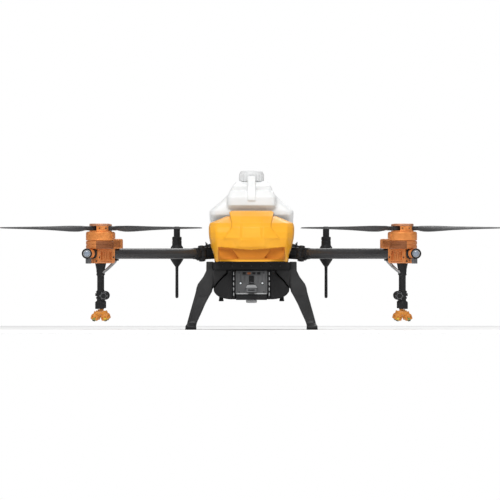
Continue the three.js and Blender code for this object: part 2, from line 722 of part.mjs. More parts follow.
function tank() {
  const outer = join(tankSkin(TANK_LEVELS, 0), tankSkin(TOWER_LEVELS, 0), carryHandle());
  const collar = rod(NECK_R, 550, 570, FINE, 0, FILL_Y);
  const mouth = rod(NECK_R - NECK_WALL, 540, 580, FINE, 0, FILL_Y);
  const hollows = [tankSkin(TANK_LEVELS, TANK_WALL), tankSkin(TOWER_LEVELS, TANK_WALL)];
  return cut(join(outer, collar), ...hollows, mouth);
}

function tankCap() {
  const [low, high] = CAP_Z;
  const top = high - 12;
  const profile = [[NECK_R + 1, low], [CAP_R, low], [CAP_R, top], [CAP_R - 5, high - 4], [CAP_R - 22, high],
    [0, high], [0, CAP_SEAT], [NECK_R + 1, CAP_SEAT], [NECK_R + 1, low]];
  const body = turned(profile, FINE).translate(0, FILL_Y, 0);
  const scoops = [];
  for (let k = 0; k < CAP_SCOOPS; k += 1) {
    const angle = (2 * Math.PI * (k + 0.5)) / CAP_SCOOPS;
    const radius = CAP_R + 2;
    const x = radius * Math.cos(angle);
    const y = FILL_Y + radius * Math.sin(angle);
    scoops.push(rod(4.5, low - 1, top - 2, 6, x, y));
  }
  return cut(body, ...scoops);
}

function filterBasket() {
  const outer = NECK_R - NECK_WALL - GAP;
  const cup = [[0, 470], [outer - 5, 470], [outer, 570.4], [NECK_R, 570.4], [NECK_R, 573],
    [outer - 3, 573], [outer - 8, 473], [0, 473]];
  const body = turned(cup, FINE);
  const slots = [];
  for (let k = 0; k < 3; k += 1) {
    const slot = block([-60, 60], [-6, 6], [486, 548]);
    slots.push(slot.rotateZ((Math.PI * k) / 3));
  }
  return cut(body, ...slots).translate(0, FILL_Y, 0);
}

// ---------------------------------------------------------------- inside parts and legs
function pump() {
  const floor = TUB_DECK;
  const motorBody = rodX(20, -58, 6, MID, 218, floor + 22);
  const head = loft([
    rectRing(floor, 24, 200, 240, 6),
    rectRing(floor + 50, 24, 200, 240, 6),
  ]).translate(26, 0, 0);
  const foot = block([-50, 44], [206, 238], [floor, floor + 6]);
  const port = rod(7, floor + 48, floor + 68, COARSE, 26, 220);
  return join(motorBody, head, foot, port);
}

function flightController() {
  const floor = TUB_DECK;
  return join(
    loft([rectRing(floor, 36, -200, -130, 6), rectRing(floor + 24, 36, -200, -130, 6),
      rectRing(floor + 27, 33, -197, -133, 5)]),
    block([-24, 24], [-205, -125], [floor + 6, floor + 16]),
  );
}

// Height, inner edge, outer edge and middle of the leg, from the frame down to the foot.
const LEG_LEVELS = [[256, 143, 170, -172], [222, 143, 170.5, -172], [200, 143, 181, -174],
  [172, 143, 202, -178], [158, 146, 207, -180], [142, 149, 210, -182], [127, 158, 214, -184],
  [97, 174, 222.5, -188], [60, 190, 233, -192], [30, 204, 241, -196], [17, 208, 244, -198]];
const LEG_HALF = 15;
const FOOT = { x: 228.5, y: -198, half: 20.5, length: 40 };

function leg() {
  const rings = LEG_LEVELS.map(([z, inner, outer, y]) => {
    const ring = rectRing(z, (outer - inner) / 2, y - LEG_HALF, y + LEG_HALF, 7);
    return ring.map((p) => p.add(new THREE.Vector3((inner + outer) / 2, 0, 0)));
  });
  const { x, y, half, length } = FOOT;
  const pad = loft([
    rectRing(0, half, y - length, y + length, 9),
    rectRing(15, half, y - length, y + length, 9),
    rectRing(19, half - 3.5, y - length + 12, y + length - 12, 7),
  ]).translate(x, 0, 0);
  return join(loft(rings), prismY(LEG_BRACKET, ...BRACKET_Y), pad);
}

put('chassis_frame', chassis(), COLOURS.black);
put('belly_shell', bellyShell(), COLOURS.black);
put('front_hood', frontHood(), COLOURS.orange, 0, 0.35);
put('rear_cover', rearCover(), COLOURS.orange, 0, 0.35);
put('spray_tank', tank(), COLOURS.tankWhite, 0, 0.4);
put('tank_cap', tankCap(), COLOURS.tankWhite, 0, 0.4);
put('tank_filter', filterBasket(), COLOURS.grey);
put('battery', battery(), COLOURS.grey);
put('battery_latch', batteryLatch(), COLOURS.steel);
put('battery_tray', batteryTray(), COLOURS.black);
put('ground_radar', radarPlate(), COLOURS.grey);
put('spray_pump', pump(), COLOURS.grey);
put('flight_controller', flightController(), COLOURS.grey);
for (const corner of CORNERS) {
  put(`leg_${corner.tag}`, moved(leg(), mirror(corner)), COLOURS.black);
}

export default group;
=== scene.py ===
import json
import math

import bmesh
import bpy
from mathutils import Matrix, Vector


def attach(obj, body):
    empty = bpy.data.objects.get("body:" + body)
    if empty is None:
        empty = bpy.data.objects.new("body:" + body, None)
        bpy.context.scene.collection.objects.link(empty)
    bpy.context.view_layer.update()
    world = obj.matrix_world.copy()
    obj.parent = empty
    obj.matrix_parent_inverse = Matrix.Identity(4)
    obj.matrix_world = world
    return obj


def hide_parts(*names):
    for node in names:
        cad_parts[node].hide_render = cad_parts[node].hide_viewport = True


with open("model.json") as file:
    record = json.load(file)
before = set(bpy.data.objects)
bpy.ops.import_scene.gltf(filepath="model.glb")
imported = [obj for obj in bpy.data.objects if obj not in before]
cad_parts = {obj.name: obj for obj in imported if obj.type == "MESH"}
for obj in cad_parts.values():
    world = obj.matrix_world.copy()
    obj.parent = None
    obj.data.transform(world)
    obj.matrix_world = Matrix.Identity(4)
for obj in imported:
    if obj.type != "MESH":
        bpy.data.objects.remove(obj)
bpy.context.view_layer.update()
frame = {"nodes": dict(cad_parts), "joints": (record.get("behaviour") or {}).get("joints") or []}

# Shapes are written in millimetres in the shared frame and scaled to metres when a mesh is made.
MM = 0.001
BORE_R = 20.3            # every bore that takes an arm tube
CLAMP_ENDS = (-56, 34)   # tube clamp along the arm, from the motor axis
CLAMP_FOOT = 250
BASE_SPAN = (304, 334)   # motor base, heights
BOX_SPAN = (305, 342)    # speed-controller box, heights
BELL_SPAN = (335.6, 369.4)
PLATE_GAP = (372, 391)   # between the hub plates
BLADE_PIN = 24           # blade bolt from the motor axis
LAMP_OUT = 67            # lamp from the motor axis, along the arm
ANTENNA_OUT = 133        # antenna from the fold pin, along the arm
BATTERY_FACE = -214.0
JOINTS = {j["name"]: j for j in frame["joints"]}
PIVOT = Vector(JOINTS["fold_front_right"]["pos_m"]) / MM
MOTOR = Vector(JOINTS["spin_front_right"]["pos_m"]) / MM
ARM_Z = PIVOT.z
REACH = (MOTOR.x - PIVOT.x) * math.sqrt(2)
TAU = 2 * math.pi


# ------------------------------------------------------------------ materials
def node_material(name):
    material = bpy.data.materials.new(name)
    material.use_nodes = True
    tree = material.node_tree
    return material, tree, tree.nodes["Principled BSDF"]


def link(tree, source, target):
    tree.links.new(source, target)


def coordinate(tree, uv=False, scale=(1, 1, 1)):
    texture = tree.nodes.new("ShaderNodeTexCoord")
    mapping = tree.nodes.new("ShaderNodeMapping")
    mapping.inputs["Scale"].default_value = scale
    link(tree, texture.outputs["UV" if uv else "Object"], mapping.inputs["Vector"])
    return mapping.outputs["Vector"]


def noise(tree, vector, scale, detail=3.0, rough=0.5):
    node = tree.nodes.new("ShaderNodeTexNoise")
    node.inputs["Scale"].default_value = scale
    node.inputs["Detail"].default_value = detail
    node.inputs["Roughness"].default_value = rough
    link(tree, vector, node.inputs["Vector"])
    return node.outputs["Fac"]


def remap(tree, value, low, high, start=0.3, end=0.7):
    node = tree.nodes.new("ShaderNodeMapRange")
    node.inputs["From Min"].default_value = start
    node.inputs["From Max"].default_value = end
    node.inputs["To Min"].default_value = low
    node.inputs["To Max"].default_value = high
    link(tree, value, node.inputs["Value"])
    return node.outputs["Result"]


def blend_colour(tree, factor, first, second):
    node = tree.nodes.new("ShaderNodeMix")
    node.data_type = "RGBA"
    node.inputs[6].default_value = (*first, 1)
    node.inputs[7].default_value = (*second, 1)
    link(tree, factor, node.inputs[0])
    return node.outputs[2]


def bump(tree, shader, height, distance, strength=1.0):
    node = tree.nodes.new("ShaderNodeBump")
    node.inputs["Distance"].default_value = distance
    node.inputs["Strength"].default_value = strength
    link(tree, height, node.inputs["Height"])
    link(tree, node.outputs["Normal"], shader.inputs["Normal"])


def plastic(name, dark, light, rough, grain, depth, coat=0.0, metal=0.0, subsurface=0.0, shine=0.5,
            cast=None):
    """Moulded plastic or painted metal: a fine grain in the surface and slow drifts of tone and gloss.
    With cast, the light it throws on its neighbours has that colour."""
    material, tree, shader = node_material(name)
    where = coordinate(tree)
    drift = noise(tree, where, 14.0, 2.0)
    tone = blend_colour(tree, remap(tree, drift, 0, 1), dark, light)
    if cast:
        path = tree.nodes.new("ShaderNodeLightPath")
        choice = tree.nodes.new("ShaderNodeMix")
        choice.data_type = "RGBA"
        link(tree, path.outputs["Is Diffuse Ray"], choice.inputs["Factor"])
        link(tree, tone, choice.inputs[6])
        choice.inputs[7].default_value = (*cast, 1.0)
        tone = choice.outputs[2]
    link(tree, tone, shader.inputs["Base Color"])
    smudge = noise(tree, where, 45.0, 4.0, 0.6)
    link(tree, remap(tree, smudge, rough * 0.85, rough * 1.18), shader.inputs["Roughness"])
    shader.inputs["Metallic"].default_value = metal
    shader.inputs["Specular IOR Level"].default_value = shine
    shader.inputs["Coat Weight"].default_value = coat
    shader.inputs["Coat Roughness"].default_value = 0.12
    if subsurface:
        shader.inputs["Subsurface Weight"].default_value = subsurface
        shader.inputs["Subsurface Radius"].default_value = (1.0, 0.9, 0.8)
        shader.inputs["Subsurface Scale"].default_value = 0.006
    bump(tree, shader, noise(tree, where, grain, 2.0), depth)
    return material


def turned_metal(name, dark, light, rough, pitch):
    """Turned and anodised metal: rings of fine tool marks around the upright axis."""
    material, tree, shader = node_material(name)
    where = coordinate(tree, scale=(0.02, 0.02, 1))
    marks = noise(tree, where, pitch, 3.0, 0.7)
    wear = noise(tree, coordinate(tree), 60.0, 3.0)
    link(tree, blend_colour(tree, remap(tree, wear, 0, 1), dark, light), shader.inputs["Base Color"])
    link(tree, remap(tree, marks, rough * 0.8, rough * 1.3), shader.inputs["Roughness"])
    shader.inputs["Metallic"].default_value = 0.55
    bump(tree, shader, marks, 0.00006)
    return material


def weave(name):
    """Carbon twill: 2 mm tows laid two over, two under, stepping one tow per row."""
    material, tree, shader = node_material(name)
    tow = 1 / 0.002
    split = tree.nodes.new("ShaderNodeSeparateXYZ")
    link(tree, coordinate(tree, uv=True, scale=(tow, tow, 1)), split.inputs["Vector"])

    def maths(kind, first, second=None):
        node = tree.nodes.new("ShaderNodeMath")
        node.operation = kind
        for slot, value in enumerate((first, second)):
            if value is None:
                continue
            if isinstance(value, (int, float)):
                node.inputs[slot].default_value = value
            else:
                link(tree, value, node.inputs[slot])
        return node.outputs["Value"]

    across, around = split.outputs["X"], split.outputs["Y"]
    step = maths("ADD", maths("FLOOR", across), maths("FLOOR", around))
    over = maths("LESS_THAN", maths("FLOORED_MODULO", step, 4), 1.5)
    crown_a = maths("SINE", maths("MULTIPLY", maths("FRACT", across), math.pi))
    crown_b = maths("SINE", maths("MULTIPLY", maths("FRACT", around), math.pi))
    first = maths("MULTIPLY", over, crown_a)
    second = maths("MULTIPLY", maths("SUBTRACT", 1, over), crown_b)
    height = maths("ADD", first, second)
    tone = blend_colour(tree, over, (0.022, 0.022, 0.023), (0.040, 0.040, 0.042))
    link(tree, tone, shader.inputs["Base Color"])
    link(tree, remap(tree, over, 0.34, 0.46, 0, 1), shader.inputs["Roughness"])
    shader.inputs["Specular IOR Level"].default_value = 0.25
    shader.inputs["Coat Weight"].default_value = 0.25
    shader.inputs["Coat Roughness"].default_value = 0.2
    bump(tree, shader, height, 0.00008)
    return material


def lens_glass(name, colour):
    material, tree, shader = node_material(name)
    ripple = noise(tree, coordinate(tree), 420.0, 1.0)
    link(tree, blend_colour(tree, remap(tree, ripple, 0, 1), colour, [c * 1.25 for c in colour]),
         shader.inputs["Base Color"])
    shader.inputs["Roughness"].default_value = 0.08
    shader.inputs["Coat Weight"].default_value = 1.0
    bump(tree, shader, ripple, 0.0001)
    return material


M = {
    "hood": plastic("hood_orange", (0.95, 0.42, 0.018), (1.0, 0.47, 0.028), 0.38, 900.0, 0.00002, 0.08,
                    shine=0.3,
                    cast=(0.62, 0.50, 0.40)),
    # The hood's orange darkened: painted shade for the intake recess under the lip.
    "recess": plastic("recess_painted_shade", (0.60, 0.19, 0.008), (0.66, 0.22, 0.012), 0.5, 900.0, 0.00003,
                      shine=0.3),
    "metal_orange": turned_metal("anodised_orange", (0.80, 0.27, 0.065), (0.88, 0.33, 0.09), 0.36, 900.0),
    "cast_orange": plastic("cast_orange", (0.62, 0.20, 0.05), (0.72, 0.26, 0.07), 0.42, 1400.0, 0.00005, 0.1,
                           0.3),
    "brown": plastic("shaded_orange", (0.26, 0.085, 0.026), (0.33, 0.115, 0.036), 0.5, 1400.0, 0.00005, 0,
                     0.2),
    "hub": turned_metal("hub_orange", (0.52, 0.24, 0.13), (0.62, 0.3, 0.17), 0.42, 900.0),
    "nozzle": plastic("nozzle_orange", (0.58, 0.20, 0.02), (0.66, 0.25, 0.03), 0.42, 1200.0, 0.00005),
    "tank": plastic("tank_white", (0.86, 0.87, 0.865), (0.92, 0.925, 0.92), 0.36, 260.0, 0.00006, 0.1, 0,
                    0.1),
    "cap": plastic("cap_white", (0.74, 0.75, 0.75), (0.80, 0.80, 0.80), 0.4, 700.0, 0.00004),
    "black": plastic("black_plastic", (0.013, 0.013, 0.0135), (0.020, 0.020, 0.021), 0.5, 1300.0, 0.00006,
                     shine=0.18),
    "leg": plastic("leg_black", (0.022, 0.022, 0.0225), (0.034, 0.034, 0.035), 0.46, 1100.0, 0.00007,
                   shine=0.3),
    "rubber": plastic("rubber", (0.010, 0.010, 0.010), (0.016, 0.016, 0.016), 0.75, 700.0, 0.0001,
                      shine=0.2),
    "frame": plastic("frame_black", (0.012, 0.012, 0.0125), (0.020, 0.020, 0.021), 0.5, 900.0, 0.00006,
                     shine=0.18),
    "blade": plastic("blade_black", (0.032, 0.032, 0.033), (0.048, 0.048, 0.05), 0.5, 800.0, 0.00005,
                     shine=0.3),
    "grey": plastic("grey_plastic", (0.11, 0.112, 0.115), (0.15, 0.152, 0.156), 0.45, 1000.0, 0.00006,
                    shine=0.35),
    "battery": plastic("battery_grey", (0.085, 0.086, 0.088), (0.12, 0.122, 0.125), 0.42, 1000.0, 0.00006,
                       shine=0.35),
    "pale": plastic("pale_grey", (0.34, 0.345, 0.35), (0.42, 0.425, 0.43), 0.4, 1000.0, 0.00005),
    "steel": turned_metal("bolt_steel", (0.26, 0.26, 0.27), (0.36, 0.36, 0.37), 0.34, 1500.0),
    "oxide": turned_metal("black_oxide", (0.030, 0.030, 0.031), (0.048, 0.048, 0.05), 0.42, 1500.0),
    "copper": turned_metal("copper_wire", (0.22, 0.07, 0.025), (0.32, 0.11, 0.04), 0.5, 2600.0),
    "carbon": weave("carbon_twill"),
    "lens": lens_glass("lamp_lens", (0.20, 0.24, 0.30)),
    "led": lens_glass("status_light", (0.75, 0.78, 0.8)),
    "yellow": plastic("tip_yellow", (0.62, 0.48, 0.03), (0.7, 0.56, 0.05), 0.4, 900.0, 0.00004),
    "green": plastic("tip_green", (0.10, 0.24, 0.05), (0.14, 0.3, 0.07), 0.4, 900.0, 0.00004),
}


# ------------------------------------------------------------------ shells: (vertices in mm, faces)
def fillet(points, radius, steps=4, closed=True):
    """Rounds the corners of a flat outline."""
    out = []
    count = len(points)
    for i, point in enumerate(points):
        if not closed and i in (0, count - 1):
            out.append(tuple(point))
            continue
        here = Vector(point)
        back = Vector(points[i - 1]) - here
        ahead = Vector(points[(i + 1) % count]) - here
        reach = min(radius, back.length * 0.45, ahead.length * 0.45)
        start = here + back.normalized() * reach
        end = here + ahead.normalized() * reach
        for k in range(steps + 1):
            t = k / steps
            out.append(tuple(start * (1 - t) ** 2 + here * 2 * t * (1 - t) + end * t ** 2))
    return out


def revolve(profile, n=48, round_by=0.0, closed=False):
    """A turned shape about Z. The profile of (radius, height) starts and ends on the axis, or closes."""
    if round_by:
        profile = fillet(profile, round_by, 3, closed)
    verts, faces, rings = [], [], []
    for r, z in profile:
        if r < 1e-6:
            rings.append([len(verts)])
            verts.append((0, 0, z))
        else:
            rings.append(list(range(len(verts), len(verts) + n)))
            verts += [(r * math.cos(TAU * k / n), r * math.sin(TAU * k / n), z) for k in range(n)]
    pairs = list(zip(rings, rings[1:]))
    if closed:
        pairs.append((rings[-1], rings[0]))
    for a, b in pairs:
        for k in range(n):
            m = (k + 1) % n
            if len(a) == 1 and len(b) == 1:
                break
            if len(a) == 1:
                faces.append((a[0], b[m], b[k]))
            elif len(b) == 1:
                faces.append((a[k], a[m], b[0]))
            else:
                faces.append((a[k], a[m], b[m], b[k]))
    return verts, faces


def loft(rings):
    count = len(rings[0])
    verts = [tuple(p) for ring in rings for p in ring]
    faces = []
    for r in range(len(rings) - 1):
        for k in range(count):
            m = (k + 1) % count
            faces.append((r * count + k, r * count + m, (r + 1) * count + m, (r + 1) * count + k))
    faces.append(tuple(range(count))[::-1])
    faces.append(tuple(range((len(rings) - 1) * count, len(rings) * count)))
    return verts, faces


def slab(x, y, z, edge=1.0, steps=2):
    """A block with softened edges; x, y and z are (low, high)."""
    verts = [(x[i], y[j], z[k]) for i in (0, 1) for j in (0, 1) for k in (0, 1)]
    faces = [(0, 1, 3, 2), (4, 6, 7, 5), (0, 4, 5, 1), (2, 3, 7, 6), (0, 2, 6, 4), (1, 5, 7, 3)]
    return soften((verts, faces), edge, steps) if edge else (verts, faces)


def soften(shell, width, steps=2, angle=25.0):
    """Rounds every edge sharper than the angle."""
    bm = to_bmesh(shell)
    sharp = [e for e in bm.edges if e.is_manifold and e.calc_face_angle(0) > math.radians(angle)]
    bmesh.ops.bevel(bm, geom=sharp, offset=width, segments=steps, profile=0.6, affect="EDGES",
                    clamp_overlap=True)
    verts = [tuple(v.co) for v in bm.verts]
    bm.verts.index_update()
    faces = [tuple(v.index for v in f.verts) for f in bm.faces]
    bm.free()
    return verts, faces


def to_bmesh(shell):
    bm = bmesh.new()
    verts = [bm.verts.new(v) for v in shell[0]]
    for face in shell[1]:
        bm.faces.new([verts[i] for i in face])
    bmesh.ops.recalc_face_normals(bm, faces=bm.faces)
    return bm


def push(outline, z0, z1, edge=1.0, steps=2):
    """A flat outline in X and Y raised from z0 to z1, edges softened."""
    shell = loft([[(x, y, z) for x, y in outline] for z in (z0, z1)])
    return soften(shell, edge, steps, 40.0) if edge else shell


def rounded_rect(half_x, half_y, radius, cx=0.0, cy=0.0, steps=6):
    ring = []
    for corner in range(4):
        sx = 1 if corner in (0, 3) else -1
        sy = 1 if corner < 2 else -1
        for k in range(steps + 1):
            angle = (corner + k / steps) * math.pi / 2
            ring.append((cx + sx * (half_x - radius) + radius * math.cos(angle),
                         cy + sy * (half_y - radius) + radius * math.sin(angle)))
    return ring


def at_height(ring, z):
    return [(x, y, z) for x, y in ring]


def smooth_path(points, per=8):
    out = []
    pts = [Vector(p) for p in points]
    for i in range(len(pts) - 1):
        p0, p1, p2, p3 = pts[max(i - 1, 0)], pts[i], pts[i + 1], pts[min(i + 2, len(pts) - 1)]
        for k in range(per):
            t = k / per
            out.append(0.5 * ((2 * p1) + (p2 - p0) * t + (2 * p0 - 5 * p1 + 4 * p2 - p3) * t * t
                              + (3 * p1 - p0 - 3 * p2 + p3) * t ** 3))
    out.append(pts[-1])
    return out


def cable(points, radius, n=14, per=8):
    """A round hose or wire along a smooth path, closed at both ends."""
    path = smooth_path(points, per)
    rings = []
    side = None
    for i, here in enumerate(path):
        ahead = (path[min(i + 1, len(path) - 1)] - path[max(i - 1, 0)]).normalized()
        if side is None:
            side = ahead.orthogonal().normalized()
        side = (side - ahead * side.dot(ahead)).normalized()
        up = ahead.cross(side)
        rings.append([here + side * (radius * math.cos(TAU * k / n)) + up * (radius * math.sin(TAU * k / n))
                      for k in range(n)])
    return loft(rings)


def pair(side, near, far):
    """The (low, high) run between two distances out on one side."""
    return tuple(sorted((side * near, side * far)))


def placed(shell, matrix):
    return [tuple(matrix @ Vector(v)) for v in shell[0]], shell[1]


def shift(shell, x=0.0, y=0.0, z=0.0):
    return placed(shell, Matrix.Translation((x, y, z)))


def turn(shell, axis, degrees):
    return placed(shell, Matrix.Rotation(math.radians(degrees), 4, axis))


def socket_screw(radius, height, n=24):
    """A cap screw seen from above: round head with a sunken round socket."""
    profile = [(0, height * 0.45), (radius * 0.45, height * 0.45), (radius * 0.55, height),
               (radius * 0.9, height), (radius, height * 0.85), (radius, 0), (0, 0)]
    return revolve(profile, n)


# ------------------------------------------------------------------ pieces
class Piece:
    """One named piece, made of closed shells that can each have their own material."""

    def __init__(self, name, matrix=None):
        self.name = name
        self.matrix = matrix or Matrix.Identity(4)
        self.verts = []
        self.faces = []
        self.slots = []
        self.face_slot = []
        self.uv = None

    def add(self, shell, material, paint=None):
        """Adds a shell; paint, if given, names the material of a face from its centre."""
        base = len(self.verts)
        if material not in self.slots:
            self.slots.append(material)
        self.verts += [self.matrix @ Vector(v) for v in shell[0]]
        self.faces += [tuple(base + i for i in f) for f in shell[1]]
        if not paint:
            self.face_slot += [self.slots.index(material)] * len(shell[1])
            return self
        for face in shell[1]:
            name = paint(sum((Vector(shell[0][i]) for i in face), Vector()) / len(face))
            if name not in self.slots:
                self.slots.append(name)
            self.face_slot.append(self.slots.index(name))
        return self

    def build(self, body, replaces=(), slot=None, sharp=32.0):
        mesh = bpy.data.meshes.new(self.name)
        mesh.from_pydata([tuple(v * MM) for v in self.verts], [], self.faces)
        for material in self.slots:
            mesh.materials.append(M[material])
        mesh.polygons.foreach_set("material_index", self.face_slot)
        return finish_mesh(self.name, mesh, body, replaces, sharp)


def finish_mesh(name, mesh, body, replaces=(), sharp=32.0):
    bm = bmesh.new()
    bm.from_mesh(mesh)
    bmesh.ops.recalc_face_normals(bm, faces=bm.faces)
    for face in bm.faces:
        face.smooth = True
    for edge in bm.edges:
        edge.smooth = not edge.is_manifold or edge.calc_face_angle(0) < math.radians(sharp)
    bm.to_mesh(mesh)
    bm.free()
    obj = bpy.data.objects.new(name, mesh)
    bpy.context.scene.collection.objects.link(obj)
    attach(obj, body)
    if replaces:
        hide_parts(*replaces)
    return obj


def scratch(shell, name="scratch"):
    mesh = bpy.data.meshes.new(name)
    bm = to_bmesh(shell)
    bm.to_mesh(mesh)
    bm.free()
    obj = bpy.data.objects.new(name, mesh)
    bpy.context.scene.collection.objects.link(obj)
    return obj


def evaluated(obj):
    graph = bpy.context.evaluated_depsgraph_get()
    mesh = bpy.data.meshes.new_from_object(obj.evaluated_get(graph))
    bpy.data.objects.remove(obj)
    return mesh


def carve(base, cutters=(), unions=()):
    """Joins and cuts shells; the result is a shell."""
    obj = scratch(base)
    tools = []
    for kind, shells in (("UNION", unions), ("DIFFERENCE", cutters)):
        for shell in shells:
            tool = scratch(shell, "tool")
            modifier = obj.modifiers.new("join_or_cut", "BOOLEAN")
            modifier.operation = kind
            modifier.solver = "EXACT"
            modifier.object = tool
            tools.append(tool)
    mesh = evaluated(obj)
    for tool in tools:
        bpy.data.objects.remove(tool)
    shell = ([tuple(v.co) for v in mesh.vertices], [tuple(p.vertices) for p in mesh.polygons])
    bpy.data.meshes.remove(mesh)
    return shell


def moulded(shell, voxel, rounds, factor=0.5):
    """Melts joined shells into one even skin with soft fillets, as a moulding has."""
    obj = scratch(shell)
    remesh = obj.modifiers.new("skin", "REMESH")
    remesh.mode = "VOXEL"
    remesh.voxel_size = voxel
    smooth = obj.modifiers.new("soft", "SMOOTH")
    smooth.factor = factor
    smooth.iterations = rounds
    mesh = evaluated(obj)
    result = ([tuple(v.co) for v in mesh.vertices], [tuple(p.vertices) for p in mesh.polygons])
    bpy.data.meshes.remove(mesh)
    return result


def joined(*shells):
    verts, faces = [], []
    for shell in shells:
        base = len(verts)
        verts += list(shell[0])
        faces += [tuple(base + i for i in f) for f in shell[1]]
    return verts, faces


# ------------------------------------------------------------------ corners
CORNERS = {"front_right": (1, 1), "front_left": (-1, 1), "rear_right": (1, -1), "rear_left": (-1, -1)}


def mirror(tag):
    side, back = CORNERS[tag]
    return Matrix.Diagonal((side, back, 1, 1))


def arm_matrix(tag):
    return mirror(tag) @ Matrix.Translation((PIVOT.x, PIVOT.y, ARM_Z)) @ Matrix.Rotation(-math.pi / 4, 4,
            "Z")


def motor_matrix(tag):
    return mirror(tag) @ Matrix.Translation((MOTOR.x, MOTOR.y, 0))


def pin_lean(tag):
    """How far the fold pin leans along the arm, from the joint's own axis."""
    axis = Vector(JOINTS["fold_" + tag]["axis"])
    axis = axis if axis.z > 0 else -axis
    outward = Vector((CORNERS[tag][0], -CORNERS[tag][1], 0)).normalized()
    return math.atan2(axis.dot(outward), axis.z)


def along_x(shell):
    """Turns a shape made about Z so that its axis lies along X."""
    return placed(shell, Matrix.Rotation(math.pi / 2, 4, "Y"))


def along_y(shell):
    """Turns a shape made about Z so that its axis lies along -Y."""
    return placed(shell, Matrix.Rotation(math.pi / 2, 4, "X"))


def disc(radius, z0, z1, edge=1.0, n=48):
    return revolve([(0, z0), (radius, z0), (radius, z1), (0, z1)], n, edge)


# ------------------------------------------------------------------ arms
def arm_root(tag):
    piece = Piece("root_" + tag, arm_matrix(tag))
    lean = Matrix.Rotation(pin_lean(tag), 4, "Y")
    half = 13.4
    boss = revolve([(6.4, -half), (21, -half), (21, half), (6.4, half)], 48, 1.6, closed=True)
    neck = slab((11, 37), (-16, 16), (-half, half), 2.5, 3)
    piece.add(placed(boss, lean), "frame")
    piece.add(placed(neck, lean), "frame")
    for side in (-1, 1):
        web = slab((20, 36), (side * 16 - 2, side * 16 + 2), (-10, 10), 1.0)
        piece.add(placed(web, lean), "frame")
    collar = [(0, 33), (20, 33), (21.5, 34), (21.5, 36), (20.6, 36.6), (20.6, 37.6), (21.5, 38.2),
              (21.5, 39.2),
              (20.5, 39.7), (0, 39.7)]
    piece.add(along_x(revolve(collar, 48)), "frame")
    piece.add(along_x(disc(17, 38, 78, 1.5)), "frame")
    for side in (-1, 1):
        screw = shift(socket_screw(3.2, 2.6), 28, side * 9, half * 0.97)
        piece.add(placed(screw, lean), "oxide")
    piece.build("arm_" + tag, ["arm_root_" + tag], "black_frame")


def arm_tube(tag):
    low, high = 40.0, REACH + 36
    n, rows = 64, 24
    name = "tube_" + tag
    profile = [(17.6, low), (19.5, low), (20, low + 0.5)]
    profile += [(20, low + 0.5 + (high - low - 1) * k / rows) for k in range(1, rows)]
    profile += [(20, high - 0.5), (19.5, high), (17.6, high)]
    piece = Piece(name, arm_matrix(tag)).add(along_x(revolve(profile, n, closed=True)), "carbon")
    obj = piece.build("arm_" + tag, ["arm_tube_" + tag], "carbon_tube", 50)
    back = arm_matrix(tag).inverted()
    layer = obj.data.uv_layers.new(name="tube")
    for polygon in obj.data.polygons:
        angles = []
        for loop in polygon.loop_indices:
            local = back @ (Vector(obj.data.vertices[obj.data.loops[loop].vertex_index].co) / MM)
            angles.append((loop, local.x, math.atan2(local.z, local.y)))
        wrap = max(a[2] for a in angles) - min(a[2] for a in angles) > math.pi
        for loop, x, angle in angles:
            if wrap and angle < 0:
                angle += TAU
            layer.data[loop].uv = (x * MM, angle * 20 * MM)


def fold_bolt(tag):
    piece = Piece("bolt_" + tag, arm_matrix(tag) @ Matrix.Rotation(pin_lean(tag), 4, "Y"))
    piece.add(disc(5, -28, 28, 0.5, 24), "steel")
    for sign in (-1, 1):
        washer = disc(12.3, 22.3, 23.9, 0.4)
        head = socket_screw(10.2, 6.2, 36)
        hexagon = [(10.6 * math.cos(TAU * k / 6), 10.6 * math.sin(TAU * k / 6)) for k in range(6)]
        nut = push(hexagon, 23.9, 29.6, 0.7)
        flip = Matrix.Identity(4) if sign > 0 else Matrix.Rotation(math.pi, 4, "X")
        piece.add(placed(washer, flip), "oxide")
        piece.add(placed(shift(head, z=23.9) if sign > 0 else nut, flip), "oxide")
    piece.build("airframe", ["fold_bolt_" + tag], "bolt_steel")


def clamp_outline(half, low, high, chamfer):
    return fillet([(-half, low + chamfer), (-half + chamfer, low), (half - chamfer, low),
                   (half, low + chamfer),
                   (half, high), (-half, high)], 2.0, 3)


